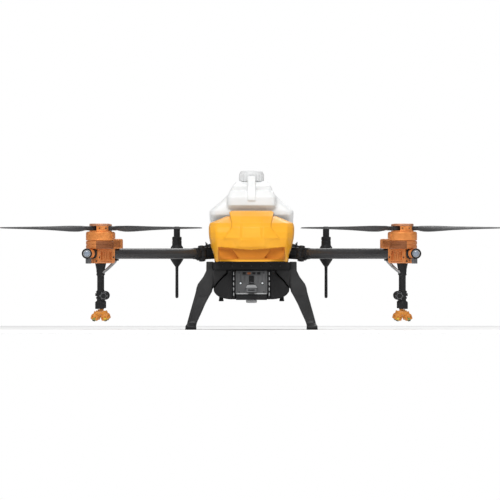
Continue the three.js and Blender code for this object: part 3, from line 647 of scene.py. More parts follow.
def motor_mount(tag):
    """Split tube clamp, motor base, speed-controller box and the windings seen under the bell."""
    piece = Piece("mount_" + tag, arm_matrix(tag))
    low = CLAMP_FOOT - ARM_Z
    base_low, base_high = BASE_SPAN[0] - ARM_Z, BASE_SPAN[1] - ARM_Z
    x0, x1 = REACH + CLAMP_ENDS[0], REACH + CLAMP_ENDS[1]
    outline = clamp_outline(25, low, base_low + 0.5, 6)
    body = loft([[(x, y, z) for y, z in outline] for x in (x0, x0 + 2, x1 - 2, x1)])
    bore = along_x(shift(disc(BORE_R, x0 - 5, x1 + 5, 0, 64)))
    split = slab((x0 - 5, x1 + 5), (-1, 1), (low - 5, -10), 0)
    pockets = []
    for along in (-34, 14):
        for side in (-1, 1):
            ring = rounded_rect(4, 17, 3.5, REACH + along, -8)
            pocket = [[(x, side * y, z) for x, z in ring] for y in (21, 27)]
            pockets.append(loft(pocket))
    for along in (-24, -10, 4):
        for side in (-1, 1):
            pockets.append(slab((REACH + along - 4, REACH + along + 4), pair(side, 23.4, 27),
                                (-22, 8), 0))
    for side in (-1, 1):
        pockets.append(slab((REACH - 40, REACH + 20), pair(side, 22.5, 27), (-30.5, -28), 0))
    clamp = carve(soften(body, 1.2, 2, 50), [bore, split] + pockets)
    piece.add(clamp, "cast_orange")
    for along in (-48, 26):
        for side in (-1, 1):
            screw = placed(socket_screw(3.4, 3), Matrix.Rotation(-side * math.pi / 2, 4, "X"))
            piece.add(shift(screw, REACH + along, side * 23.6, -14), "oxide")
    for y in (-17, 17):
        for z in (-28, 12):
            piece.add(shift(along_x(socket_screw(3.0, 2.4)), REACH + 33.4, y, z), "oxide")
    base = [(0, base_low), (48, base_low), (51.5, base_low + 3), (51.5, base_low + 12),
            (50, base_low + 13.2),
            (50, base_low + 16), (51.5, base_low + 17.2), (51.5, base_high - 2.5), (49, base_high),
            (0, base_high)]
    shaft_bore = shift(disc(5.3, 26, 60, 0, 32), REACH)
    tube_bore = along_x(disc(BORE_R, REACH - 90, REACH + 36, 0, 64))

    def shaded_side(c):
        angle = math.degrees(math.atan2(c.y, c.x - REACH)) % 360
        return "brown" if 205 < angle < 328 and base_low + 1 < c.z < base_high - 1 else "cast_orange"

    piece.add(carve(shift(revolve(base, 72, 0.8), REACH), [shaft_bore, tube_bore]), "cast_orange",
              shaded_side)
    for k in range(26):
        fin = turn(slab((49, 52.4), (-0.9, 0.9), (base_low + 3, base_high - 3), 0.4), "Z", 206 + 4.8 * k)
        piece.add(shift(fin, REACH), "brown")
    ring = [(30, base_high - 1), (47, base_high - 1), (47, base_high + 1.2), (30, base_high + 1.2)]
    piece.add(shift(revolve(ring, 72, 0.4, closed=True), REACH), "copper")
    for k in range(24):
        tooth = slab((31, 46), (-2.2, 2.2), (base_high, base_high + 1.4), 0.5)
        piece.add(shift(turn(tooth, "Z", k * 15), REACH), "copper")
    box_low, box_high = BOX_SPAN[0] - ARM_Z, BOX_SPAN[1] - ARM_Z
    rings = []
    for z, inset, radius in ((box_low, 1.5, 7), (box_low + 1.5, 0, 8), (box_high - 5, 0, 8),
                             (box_high - 1.6, 1.4, 7), (box_high, 4, 5)):
        rings.append(at_height(rounded_rect(48.5 - inset, 22 - inset, radius, REACH - 48.5), z))
    room = shift(disc(53, base_high - 0.2, base_high + 30, 0, 72), REACH)
    fins = [slab((REACH - 92 + 5 * k, REACH - 90 + 5 * k), (-17, 17), (box_high - 3, box_high + 4), 0)
            for k in range(7)]
    piece.add(carve(loft(rings), [room, tube_bore, shaft_bore] + fins), "cast_orange")
    for k in range(9):
        for side in (-1, 1):
            fin = slab((REACH - 86 + 6 * k, REACH - 83.5 + 6 * k), pair(side, 21, 23.4),
                       (box_low + 5, box_high - 8), 0.5)
            piece.add(fin, "brown")
    piece.build("arm_" + tag, ["motor_mount_" + tag], "orange_metal")


def nav_lamp(tag):
    piece = Piece("lamp_" + tag, arm_matrix(tag))
    centre = REACH + LAMP_OUT
    place = Matrix.Translation((centre, 0, 0)) @ Matrix.Rotation(-math.pi / 4, 4, "Z")
    drum = [(0, -6), (15.5, -6), (19.5, -2), (19.5, 23), (17.8, 25.6), (13.6, 25.6), (13, 23.4), (0, 23.4)]
    piece.add(placed(along_x(revolve(drum, 48, 0.8)), place), "black")
    ring = [(11.2, 23), (13.4, 23), (13.4, 26.4), (11.2, 26.4)]
    piece.add(placed(along_x(revolve(ring, 48, 0.5, closed=True)), place), "pale")
    dome = [(0, 22), (11.2, 22), (11.2, 24.4)]
    dome += [(11.2 * math.cos(a), 24.4 + 4.4 * math.sin(a)) for a in (0.3, 0.6, 0.9, 1.2, 1.4)] + [(0, 28.8)]
    piece.add(placed(along_x(revolve(dome, 40)), place), "lens")
    piece.add(along_x(disc(17, REACH + 14, centre - 9, 1)), "cast_orange")
    piece.add(along_x(disc(17.2, centre - 9, centre, 0.6)), "black")
    rim = [(16, REACH + 36.4), (19.8, REACH + 36.4), (19.8, REACH + 41), (16, REACH + 43)]
    piece.add(along_x(revolve(rim, 48, 0.6, closed=True)), "black")
    piece.add(slab((centre - 18, centre + 2), (-6, 6), (-37.5, -12), 1.5, 3), "grey")
    piece.build("arm_" + tag, ["nav_lamp_" + tag], "grey_plastic")


# ------------------------------------------------------------------ rotors
def rotor_bell(tag):
    low, high = BELL_SPAN
    piece = Piece("bell_" + tag, motor_matrix(tag))
    profile = [(0, 320), (5, 320), (5, low + 2), (30, low + 2), (33, low + 0.3), (50.5, low),
               (51.5, low + 1.5),
               (51.5, low + 4), (51.0, low + 4.6), (51.5, low + 5.2), (51.5, high - 8), (50.6, high - 3.2),
               (46, high - 0.4), (41, high), (40.6, high - 1), (39, high - 1), (38.5, high),
               (38.5, 372.2), (37.7, 373), (7.5, 373), (7.5, 390), (37.5, 390), (38.5, 391), (38.5, 396.2),
               (37, 398.2), (34, 399), (16, 399), (14.5, 397.6), (0, 397.6)]
    piece.add(revolve(profile, 96, 0.35), "metal_orange", lambda c: "hub" if c.z > 389.5 else "metal_orange")
    turned_side = CORNERS[tag][0]
    ends = (-12, 33) if turned_side > 0 else (-33, 12)
    web = carve(slab(ends, (-36, -17.6), PLATE_GAP, 1.2, 2),
                [revolve([(37.2, 360), (80, 360), (80, 400), (37.2, 400)], 64, closed=True)])
    piece.add(web, "metal_orange")
    for x in (ends[0] + 9, ends[1] - 12):
        screw = along_y(socket_screw(2.8, 1.6))
        piece.add(shift(screw, x, -35.2 if abs(x) < 8 else -30, 381.5), "oxide")
    for side in (-1, 1):
        piece.add(shift(disc(4, *PLATE_GAP, 0.3, 24), side * BLADE_PIN), "steel")
        piece.add(shift(socket_screw(5.0, 1.6), side * 24, 0, 398.4 - 1), "steel")
    for k in range(4):
        angle = TAU * (k + 0.5) / 4
        screw = shift(socket_screw(2.6, 1.4), 27 * math.cos(angle), 27 * math.sin(angle), 397.5)
        piece.add(screw, "steel")
    piece.add(disc(6, 396, 398.9, 0.8, 32), "steel")
    for k in range(12):
        vent = shift(slab((-2.2, 2.2), (-5, 5), (-0.6, 0.25), 0.3), 45.5, 0, high - 2.4)
        piece.add(turn(vent, "Z", 30 * k), "black")
    piece.build("rotor_" + tag, ["rotor_bell_" + tag], "orange_metal")


STATIONS = [(45, 23, 8, 13.4, 381.4), (52, 30, 12, 13.5, 381.3), (60, 38, 16, 12.5, 381.2),
            (72, 48, 19.5, 10.8, 380.1), (86, 54, 21, 9, 379.5), (104, 57, 21, 7.6, 379.7),
            (125, 57.5, 20, 6.4, 380), (160, 54, 17, 5.7, 380.8), (200, 48.5, 14, 5, 381.5),
            (245, 43, 12, 4.4, 382.1), (290, 37.5, 10, 3.8, 382.5), (330, 32.3, 8.8, 3.2, 382.8),
            (355, 28.2, 8, 2.8, 383), (370, 23.5, 7.5, 2.4, 383), (378, 18.5, 7.2, 2.2, 383),
            (381.8, 12, 7, 2.0, 383)]


def airfoil(reach, chord, pitch, thick, height, n=14):
    """A cambered section across the blade: blunt leading edge, fine trailing edge."""
    pitch = math.radians(pitch)
    upper, lower = [], []
    for k in range(n + 1):
        t = 0.5 - 0.5 * math.cos(math.pi * k / n)
        half = thick * 0.5 * (1.96 * math.sqrt(t) * (1 - t) ** 0.8 * 1.15 + 0.06)
        camber = 0.035 * chord * math.sin(math.pi * t) * (1 if reach > 60 else 0)
        along = (0.5 - t) * chord
        upper.append((along, camber + half))
        lower.append((along, camber - half))
    ring = upper + lower[::-1]
    return [Vector((reach, a * math.cos(pitch) - u * math.sin(pitch),
                    height + a * math.sin(pitch) + u * math.cos(pitch))) for a, u in ring]


def blade(tag, letter):
    matrix = motor_matrix(tag)
    if letter == "b":
        matrix = matrix @ Matrix.Rotation(math.pi, 4, "Z")
    piece = Piece("blade_%s_%s_skin" % (letter, tag), matrix)
    dense = []
    for first, second in zip(STATIONS, STATIONS[1:]):
        for k in range(3):
            dense.append([a + (b - a) * k / 3 for a, b in zip(first, second)])
    dense.append(list(STATIONS[-1]))
    piece.add(loft([airfoil(*s) for s in dense]), "blade")
    eye = revolve([(4.7, 373.4), (15.4, 373.4), (15.4, 389.6), (4.7, 389.6)], 48, 1.2, closed=True)
    piece.add(shift(eye, BLADE_PIN), "blade")
    piece.add(slab((34, 56), (-10.5, 10.5), (374, 389), 2.5, 3), "blade")
    bush = revolve([(4.4, 373.3), (7, 373.3), (7, 389.7), (4.4, 389.7)], 32, 0.3, closed=True)
    piece.add(shift(bush, BLADE_PIN), "steel")
    piece.build("blade_%s_%s" % (letter, tag), ["blade_%s_%s" % (letter, tag)], "blade_black", 40)


# ------------------------------------------------------------------ spray line
def drop_pipe(tag):
    piece = Piece("drop_%s" % tag, motor_matrix(tag))
    top = 249.7
    pipe = [(0, 108), (10.8, 108), (10.8, 147.5), (9.4, 149), (9.4, 203), (11, 205), (12.4, 206),
            (12.4, 210),
            (11.6, 211), (11.6, 217), (12.4, 218), (12.4, 223), (12.6, 228), (16.4, top - 4), (17, top - 2),
            (17, top), (0, top)]
    piece.add(revolve(pipe, 48, 0.7), "black")
    nut = []
    for z, grow in ((79, -1.2), (80.5, 0), (104.5, 0), (106.5, -1.6), (109, -4)):
        ring = []
        for k in range(96):
            flute = 0.55 if k % 8 < 4 else -0.55
            radius = 16.4 + grow + flute * (1 if 80 < z < 106 else 0.3)
            ring.append((radius * math.cos(TAU * k / 96), radius * math.sin(TAU * k / 96), z))
        nut.append(ring)
    piece.add(loft(nut), "black")
    cap = [(0, -15), (12, -15), (14, -14.4), (15.4, -13.2), (16.4, -11), (17, -9), (17, 4), (16, 5),
           (16, 6.4),
           (17, 7.2), (17, 9), (16, 10), (15.6, 13), (0, 13)]
    front = Matrix.Translation((-14, 0, 128)) @ Matrix.Rotation(-math.pi / 2, 4, "X")
    piece.add(placed(revolve(cap, 56, 0.5), front), "black")
    dish = revolve([(9.4, -15.5), (11, -15.5), (11, -14), (9.4, -14)], 40, 0.3, closed=True)
    piece.add(placed(dish, front), "grey")
    piece.add(placed(disc(4.2, -16.6, -14, 0.5, 28), front), "black")
    for z in (121, 133, 143):
        piece.add(shift(along_x(disc(3.6 if z != 133 else 5.6, 8, 16.5 if z == 133 else 13.5, 0.8, 28)),
                        0, 0, z), "black")
    for k in range(6):
        angle = TAU * k / 6
        screw = shift(turn(socket_screw(1.5, 0.9, 12), "X", 180), 13.4 * math.cos(angle),
                      13.4 * math.sin(angle), -14.2)
        piece.add(placed(screw, front), "steel")
    arm = Piece("hose", arm_matrix(tag))
    for side, radius, material in ((0, 3.2, "pale"), (5.6, 2.0, "black")):
        arm.add(cable([(REACH - 84, side, -23.6), (REACH - 70, side, -36), (REACH - 44, side * 0.9, -54),
                       (REACH - 20, side * 0.6, -68), (REACH - 8, side * 0.4, -74)], radius, 16), material)
    arm.add(shift(disc(6, -27, -20.6, 0.8, 32), REACH - 84), "black")
    for slot_name in arm.slots:
        if slot_name not in piece.slots:
            piece.slots.append(slot_name)
    base = len(piece.verts)
    piece.verts += arm.verts
    piece.faces += [tuple(base + i for i in f) for f in arm.faces]
    piece.face_slot += [piece.slots.index(arm.slots[i]) for i in arm.face_slot]
    piece.build("arm_" + tag, ["drop_pipe_" + tag], "black_plastic")


def nozzle_head(tag):
    piece = Piece("nozzle_" + tag, motor_matrix(tag))
    piece.add(disc(7.2, 64, 78, 0.6), "nozzle")
    rings = [(56, 15, 8, 5), (58, 18, 9.5, 5), (64, 18, 10.5, 6), (68, 15, 10, 6), (70, 11, 9, 5)]
    piece.add(loft([at_height(rounded_rect(hx, hy, r), z) for z, hx, hy, r in rings]), "nozzle")
    for side in (-1, 1):
        tilt = Matrix.Translation((side * 12, 0, 68)) @ Matrix.Rotation(-side * math.radians(18), 4, "Y")
        neck = revolve([(0, -14), (9, -14), (9, 1), (0, 1)], 40, 1.0)
        piece.add(placed(neck, tilt), "nozzle")
        rings = []
        for z, radius in ((-31, 12.2), (-29.4, 13.6), (-17, 13.9), (-13, 12.8), (-9, 9.5)):
            ring = []
            for k in range(96):
                rib = 0.6 if k % 12 < 8 else -0.9
                r = radius + (rib if -30 < z < -12 else 0)
                ring.append((r * math.cos(TAU * k / 96), r * math.sin(TAU * k / 96), z))
            rings.append(ring)
        piece.add(placed(loft(rings), tilt), "nozzle")
        band = revolve([(13.2, -21.5), (14.2, -21.5), (14.2, -19.5), (13.2, -19.5)], 64, 0.2, closed=True)
        piece.add(placed(band, tilt), "brown")
        insert = "yellow" if side < 0 else "green"
        piece.add(placed(disc(10.2, -32.6, -30.4, 0.5, 36), tilt), insert)
        tip = carve(revolve([(0, -36.6), (3.6, -36.6), (5.2, -34.6), (5.8, -31), (0, -31)], 32),
                    [slab((-0.6, 0.6), (-7, 7), (-38, -35.2), 0)])
        piece.add(placed(tip, tilt), "black")
        for y in (-1, 1):
            lug = slab((-4, 4), pair(y, 12, 14.6), (-29, -24), 0.8)
            piece.add(placed(lug, tilt), insert)
    piece.build("arm_" + tag, ["nozzle_head_" + tag], "orange_plastic")


def antenna_unit(tag):
    piece = Piece("antenna_" + tag, arm_matrix(tag) @ Matrix.Translation((ANTENNA_OUT, 0, 0)))
    body = [(0, -168.4), (3.5, -168.2), (5.4, -165.5), (6, -161), (5.6, -70), (6, -50), (8.3, -47),
            (10, -45),
            (20, -30), (24.3, -23), (24.3, 20), (23, 24), (18.4, 31.5), (18, 34), (18, 47), (17, 48), (17,
                    50),
            (18, 51), (18, 61), (16, 63.4), (12, 64.4), (12, 98), (11, 100.6), (8, 102.4), (0, 102.4)]
    bore = along_x(disc(BORE_R, -40, 40, 0, 64))
    piece.add(carve(revolve(body, 64, 0.5), [bore]), "black")
    for k in range(7):
        ring = [(11.4, 68 + 4.2 * k), (12.35, 69.2 + 4.2 * k), (11.4, 70.6 + 4.2 * k)]
        piece.add(revolve(ring, 48, closed=True), "black")
    for side in (-1, 1):
        for z in (-22, 21):
            piece.add(shift(disc(2.4, z - 2, z + 2, 0.4, 16), 0, side * 21.8), "steel")
    piece.build("arm_" + tag, ["antenna_unit_" + tag], "black_plastic")


for tag in CORNERS:
    arm_root(tag)
    arm_tube(tag)
    fold_bolt(tag)
    motor_mount(tag)
    nav_lamp(tag)
    rotor_bell(tag)
    drop_pipe(tag)
    nozzle_head(tag)
    for letter in "ab":
        blade(tag, letter)
    if tag.startswith("rear"):
        antenna_unit(tag)


# ------------------------------------------------------------------ body
def prism_y(outline, y0, y1):
    """A flat outline in X and Z carried from y0 to y1."""
    return loft([[(x, y, z) for x, z in outline] for y in (y0, y1)])


def prism_x(outline, x0, x1):
    """A flat outline in Y and Z carried from x0 to x1."""
    return loft([[(x, y, z) for y, z in outline] for x in (x0, x1)])


def both_sides(x0, x1):
    return [pair(side, x0, x1) for side in (-1, 1)]


def along(table, z):
    """Reads a table of rows, each starting with its height, at a height between them."""
    for low, high in zip(table, table[1:]):
        if z <= high[0]:
            break
    t = min(max((z - low[0]) / (high[0] - low[0]), 0), 1)
    return [a + (b - a) * t for a, b in zip(low, high)]


def dense_levels(table, step):
    out = []
    for low, high in zip(table, table[1:]):
        count = max(1, round((high[0] - low[0]) / step))
        out += [[a + (b - a) * k / count for a, b in zip(low, high)] for k in range(count)]
    return out + [list(table[-1])]


def ease(value):
    value = min(max(value, 0.0), 1.0)
    return value * value * (3 - 2 * value)


HOOD_BACK = -118.0
HOOD_SKIN = 3.5
HOOD_LEVELS = [[255, 138, -268], [282, 142, -279], [311, 152, -291], [345, 159, -300], [367, 161, -297],
               [386, 161, -285], [401, 157, -266], [427.5, 93, -212]]
SPINE_LEVELS = [[311, 132, -250, -293], [345, 104, -289, -303], [386, 74, -288, -294],
                [401, 74, -276, -280], [427, 80, -236, -243], [442, 84, -204, -212], [448, 76, -180, -190]]
HOOD_LIP = [(-127, 266), (0, 262), (127, 266), (127, 313), (72, 308), (0, 302), (-72, 308), (-127, 313)]


def outline_ring(side, z, round_by, parts, relief=None):
    """A ring through the given right-hand points and their mirror images, its long runs divided."""
    rounded = fillet(side + [(-x, y) for x, y in side[::-1]], round_by, 3, closed=False)
    ring = []
    for i, (first, second) in enumerate(zip(rounded, rounded[1:])):
        count = parts if i % 4 == 0 else 1
        for k in range(count):
            t = k / count
            ring.append((first[0] + (second[0] - first[0]) * t, first[1] + (second[1] - first[1]) * t))
    ring.append(rounded[-1])
    if relief:
        ring = [(x, y + relief(x, y, z)) for x, y in ring]
    return at_height(ring, z)


def hood_ring(z, half, nose, back):
    depth = nose - back
    fold = min(134.0, half * 0.85)
    side = [(half, back), (half, back + 0.45 * depth), (half * 0.968, back + 0.68 * depth),
            (fold, back + 0.86 * depth), (min(70.0, half * 0.6), back + 0.97 * depth)]
    return outline_ring(side, z, 7, 8)


def spine_panel(x, y, z):
    """The flat panel set into the spine between its two creases."""
    if y > HOOD_BACK - 30:
        return 0.0
    inset = 1.6 * ease((38 - abs(x)) / 2 + 0.5)
    crease = 4.2 * ease(1 - abs(abs(x) - 38) / 3.4)
    return (inset + crease) * ease((z - 338) / 5) * ease((411 - z) / 3)


def spine_ring(z, half, edge, nose, back, relief):
    side = [(half, back), (half, edge), (min(46.0, half * 0.8), nose)]
    return outline_ring(side, z, 5, 36, relief)


def hood_skins(inset):
    """The hood body and its raised spine, drawn in by the inset."""
    fine = inset == 0
    base, spine = [], []
    back = HOOD_BACK + (9 if inset else 0)
    for level, (z, half, nose) in enumerate(dense_levels(HOOD_LEVELS, 4) if fine else HOOD_LEVELS):
        low = z if fine else z - (inset if level > 5 else 0) - (9 if level == 0 else 0)
        base.append(hood_ring(low, half - inset, nose + inset, back))
    for level, (z, half, edge, nose) in enumerate(dense_levels(SPINE_LEVELS, 3) if fine else SPINE_LEVELS):
        low = z if fine else z - (inset if level > 3 else 0)
        spine.append(spine_ring(low, half - inset, edge + inset, nose + inset + (3 if inset else 0), back,
                                spine_panel if fine else None))
    return loft(base), loft(spine)


def front_hood():
    base, spine = hood_skins(0)
    base_room, spine_room = hood_skins(HOOD_SKIN)
    hollow = carve(base_room, [slab((-131, 131), (-330, -252), (258, 324), 0)])
    floor = -271.0
    recess = prism_y(HOOD_LIP, -335, floor)
    pockets = []
    for side in (-1, 1):
        outline = [(side * 47, 268), (side * 122, 268.5), (side * 122, 309), (side * 73, 304)]
        pockets.append(prism_y(outline, -335, -256))
    notches = [slab(x, (-190, HOOD_BACK + 10), (240, 322), 0) for x in both_sides(112, 190)]
    shell = carve(base, [hollow, spine_room, recess] + pockets + notches, [spine])
    shell = moulded(shell, 1.7, 6)
    piece = Piece("hood_skin")

    def paint(c):
        # Faces inside the intake recess behind the lip take the darker orange: painted shade.
        in_shaded_recess = abs(c.x) < 126 and 263 < c.z < 312 and c.y > floor - 1.5
        return "recess" if in_shaded_recess and c.y < -240 else "hood"

    piece.add(shell, "hood", paint)
    gasket = rounded_rect(128, 68, 20, 0, -196)
    piece.add(loft([at_height(gasket, z) for z in (254.3, 256.4)]), "black")
    for side in (-1, 1):
        for x, y, z in ((154, HOOD_BACK - 9, 340), (157, HOOD_BACK - 9, 384)):
            screw = placed(socket_screw(3.2, 2.0), Matrix.Rotation(side * math.pi / 2, 4, "Y"))
            piece.add(shift(screw, side * x, y, z), "oxide")
    piece.build("airframe", ["front_hood"], "orange_plastic", 70)


COVER_FRONT = 197.0
COVER_LEVELS = [[255.5, 140, 262], [330, 148, 268], [380, 146, 262], [398, 128, 246]]


def cover_ring(z, half, tail, front, bulge):
    ring = []
    steps = 120
    for k in range(steps + 1):
        angle = math.pi * k / steps
        c, s = math.cos(angle), math.sin(angle)
        x = half * math.copysign(abs(c) ** 0.5, c)
        y = front + (tail - front) * s ** 0.5
        if bulge:
            panel = ease((96 - abs(x)) / 6) * ease((z - 268) / 6) * ease((372 - z) / 6)
            y += 3.0 * panel * ease(s * 2)
        ring.append((x, y))
    return at_height(ring, z)


def rear_cover():
    outer = loft([cover_ring(z, half, tail, COVER_FRONT, True)
                  for z, half, tail in dense_levels(COVER_LEVELS, 3.5)])
    inner = []
    for level, (z, half, tail) in enumerate(COVER_LEVELS):
        low = z - (HOOD_SKIN if level > 1 else 0) - (9 if level == 0 else 0)
        inner.append(cover_ring(low, half - HOOD_SKIN, tail - HOOD_SKIN, COVER_FRONT - 9, False))
    cuts = [loft(inner)]
    for row in range(4):
        cuts.append(slab((-55, 55), (240, 290), (286 + row * 16, 292 + row * 16), 0))
    cuts += [slab(x, (COVER_FRONT - 10, 214), (240, 324), 0) for x in both_sides(118, 190)]
    piece = Piece("rear_cover_skin").add(moulded(carve(outer, cuts), 1.9, 6), "hood")
    for row in range(4):
        low = 286 + row * 16
        piece.add(slab((-56, 56), (259.5, 262.5), (low - 1.5, low + 7.5), 0.6), "black")
    for side in (-1, 1):
        for z in (276, 366):
            screw = placed(socket_screw(3.4, 2.2), Matrix.Rotation(-math.pi / 2, 4, "X"))
            piece.add(shift(screw, side * 104, 263.5 if z < 300 else 262.5, z), "steel")
    piece.build("airframe", ["rear_cover"], "orange_plastic", 70)


TANK_BODY = [[285, 108, -98, 176, 22], [297, 122, -112, 190, 26], [372, 122, -112, 190, 26],
             [384, 128, -102, 190, 26], [403, 157, -90, 193, 28], [433, 158, -115, 194, 28],
             [447, 158, -115, 194, 28], [480, 118, -106, 160, 26], [504, 93, -98, 128, 24]]
TANK_TOWER = [[440, 88, -100, 82, 18], [449, 92, -108, 84, 20], [468, 92, -140, 84, 20],
              [500, 92, -140, 84, 20],
              [519, 84, -124, 74, 20], [521, 83, -104, 70, 18], [541, 72, -112, 62, 18], [543, 70, -110, 60,
                      18],
              [557, 57, -66, 48, 18]]
HANDLE = [(-130, 482), (-146, 486), (-143, 506), (-127, 536), (-102, 562), (-82, 577), (-66, 578),
          (-62, 572),
          (-66, 556), (-60, 545)]
FILL_Y = -9.0


def tank_skin(levels, inset, steps):
    rings = []
    for level, (z, half, y0, y1, radius) in enumerate(levels):
        z += inset if level == 0 else -inset if level == len(levels) - 1 else 0
        ring = rounded_rect(half - inset, (y1 - y0) / 2 - inset, max(radius - inset, 6), 0, (y0 + y1) / 2,
                            steps)
        rings.append(at_height(ring, z))
    return loft(rings)


def tank():
    ribs = []
    for x in both_sides(118, 123.2):
        for y in (-70, -10, 50, 110, 160):
            ribs.append(slab(x, (y - 5, y + 5), (324, 366), 0))
    body = moulded(joined(tank_skin(TANK_BODY, 0, 10), tank_skin(TANK_TOWER, 0, 10),
                          prism_x(HANDLE, -14.5, 14.5), *ribs), 2.4, 7)
    collar = shift(revolve([(0, 548), (38.6, 548), (38.6, 552), (37.4, 553), (38.6, 554.4), (38.6, 557),
                            (37.4, 558), (38.6, 559.4), (38.6, 568), (37.4, 569.8), (0,
                                    569.8)], 96), 0, FILL_Y)
    wall = 5
    room = [tank_skin(TANK_BODY, wall, 6), tank_skin(TANK_TOWER, wall, 6)]
    mouth = shift(disc(35.2, 540, 580, 0, 96), 0, FILL_Y)
    shell = carve(body, room + [mouth], [collar])
    piece = Piece("tank_skin").add(shell, "tank")
    piece.build("tank", ["spray_tank"], "tank_white", 60)


def tank_cap():
    rings = []
    points = 200
    for z, radius, scoop in ((559.2, 45.6, 1), (560.4, 46.8, 1), (562, 47, 1), (582, 47, 1),
                             (585.5, 46.6, 0.9),
                             (588, 45.4, 0.5), (590, 43.8, 0.1), (594.5, 41.8, 0), (597, 39.5, 0), (598.3,
                                     36, 0),
                             (599.6, 26, 0), (600, 22.5, 0), (599.7, 21.2, 0), (598.6, 20.4, 0), (598.6, 4,
                                     0)):
        ring = []
        for k in range(points):
            phase = (k / points * 20) % 1 - 0.5
            dent = 2.4 * scoop * max(0.0, 1 - (phase / 0.24) ** 2)
            r = radius - dent
            ring.append((r * math.cos(TAU * k / points), r * math.sin(TAU * k / points), z))
        rings.append(ring)
    hollow = disc(40.2, 550, 576, 0, 96)
    piece = Piece("cap_skin", Matrix.Translation((0, FILL_Y, 0)))
    piece.add(carve(loft(rings), [hollow]), "cap")
    piece.add(revolve([(35.5, 573.3), (39.8, 573.3), (39.8, 575.7), (35.5, 575.7)], 64, closed=True),
              "rubber")
    piece.build("cap", ["tank_cap"], "tank_white", 35)


BRACKET = [(165, 225.7), (92, 225.7), (92, 214), (123, 183), (146, 152), (165, 150)]
BRACKET_Y = (-186, -160)


def corner_room(room):
    """The corner of the belly cut away for the top of a leg."""
    outline = [(x + 35 if x > 148 else x - room, z + 20 if z > 225 else z - room) for x, z in BRACKET]
    return prism_y(outline, -220, BRACKET_Y[1] + room)


def belly_shell():
    half = 142.7
    right = [(71, 113.8), (84, 114.6), (96, 116), (110, 119.4), (122, 124), (131, 130), (138, 138),
             (141.6, 144), (half, 150), (half, 225.7)]
    hull = prism_y(right + [(-x, z) for x, z in right[::-1]], -200, 215)
    cuts = [slab((-71.3, 71.3), (-230, 24), (90, 240), 0)]
    side = [(76, 240), (76, 119), (96, 121), (119, 129), (134, 141), (half - 5, 152), (half - 5, 240)]
    room = carve(prism_y(side, -195, 210), [placed(corner_room(7), mirror(tag)) for tag in CORNERS])
    cuts += [room, placed(room, Matrix.Diagonal((-1, 1, 1, 1)))]
    cuts.append(slab((-77, 77), (29, 210), (119, 240), 0))
    cuts += [placed(corner_room(2), mirror(tag)) for tag in CORNERS]
    for sign in (-1, 1):
        for z in (166, 180, 194):
            cuts.append(slab(sorted((sign * (half - 2), sign * (half + 4))), (-10, 120), (z, z + 5), 0))
        cuts.append(prism_y([(sign * 74, 222), (sign * 78, 222), (sign * 92, 122), (sign * 88, 121)], -204,
                            -198.6))
    shell = moulded(carve(hull, cuts), 2.1, 6)
    piece = Piece("belly_skin").add(shell, "black")
    piece.add(slab((-137, 137), (-197.8, -193), (223.6, 226.5), 0.3), "rubber")
    for sign in (-1, 1):
        knob = [(0, 107), (8.4, 107), (9.2, 108), (9.2, 113), (8, 114), (8, 123), (0, 123)]
        piece.add(shift(revolve(knob, 40, 0.5), sign * 114, -140), "rubber")
        for z in (126, 219):
            screw = along_y(socket_screw(3.0, 1.8))
            piece.add(shift(screw, sign * 81, -199.6, z), "oxide")
    piece.build("airframe", ["belly_shell"], "black_plastic", 60)


def battery_tray():
    piece = Piece("tray_skin")
    floor = slab((-58, 58), (-212, 20), (112, 131), 0)
    hollow = slab((-50, 50), (-204, 12), (100, 126), 0)
    chamfer = prism_x([(-213, 111), (-206, 111), (-213, 118)], -60, 60)
    lips = [slab(x, (-214, -211), (124, 133), 0) for x in both_sides(30, 34)]
    tray = soften(carve(floor, [hollow, chamfer] + lips), 1.0, 2, 40)
    piece.add(tray, "frame")
    for side in (-1, 1):
        x = pair(side, 62, 70)
        rail = slab(x, (-206, 20), (118, 222), 0)
        windows = [slab((x[0] - 1, x[1] + 1), (-180 + 50 * k, -146 + 50 * k), (140, 205),
                        0) for k in range(4)]
        piece.add(soften(carve(rail, windows), 0.8, 2, 40), "frame")
        for k in range(5):
            z = 128 + 19.5 * k
            piece.add(slab(pair(side, 65.2, 68.8), (-208.2, -204), (z, z + 11), 0.8, 2),
                      "pale")
    piece.add(slab((-69, 69), (-150, 10), (118, 124), 0.8), "frame")
    piece.build("airframe", ["battery_tray"], "black_frame", 40)


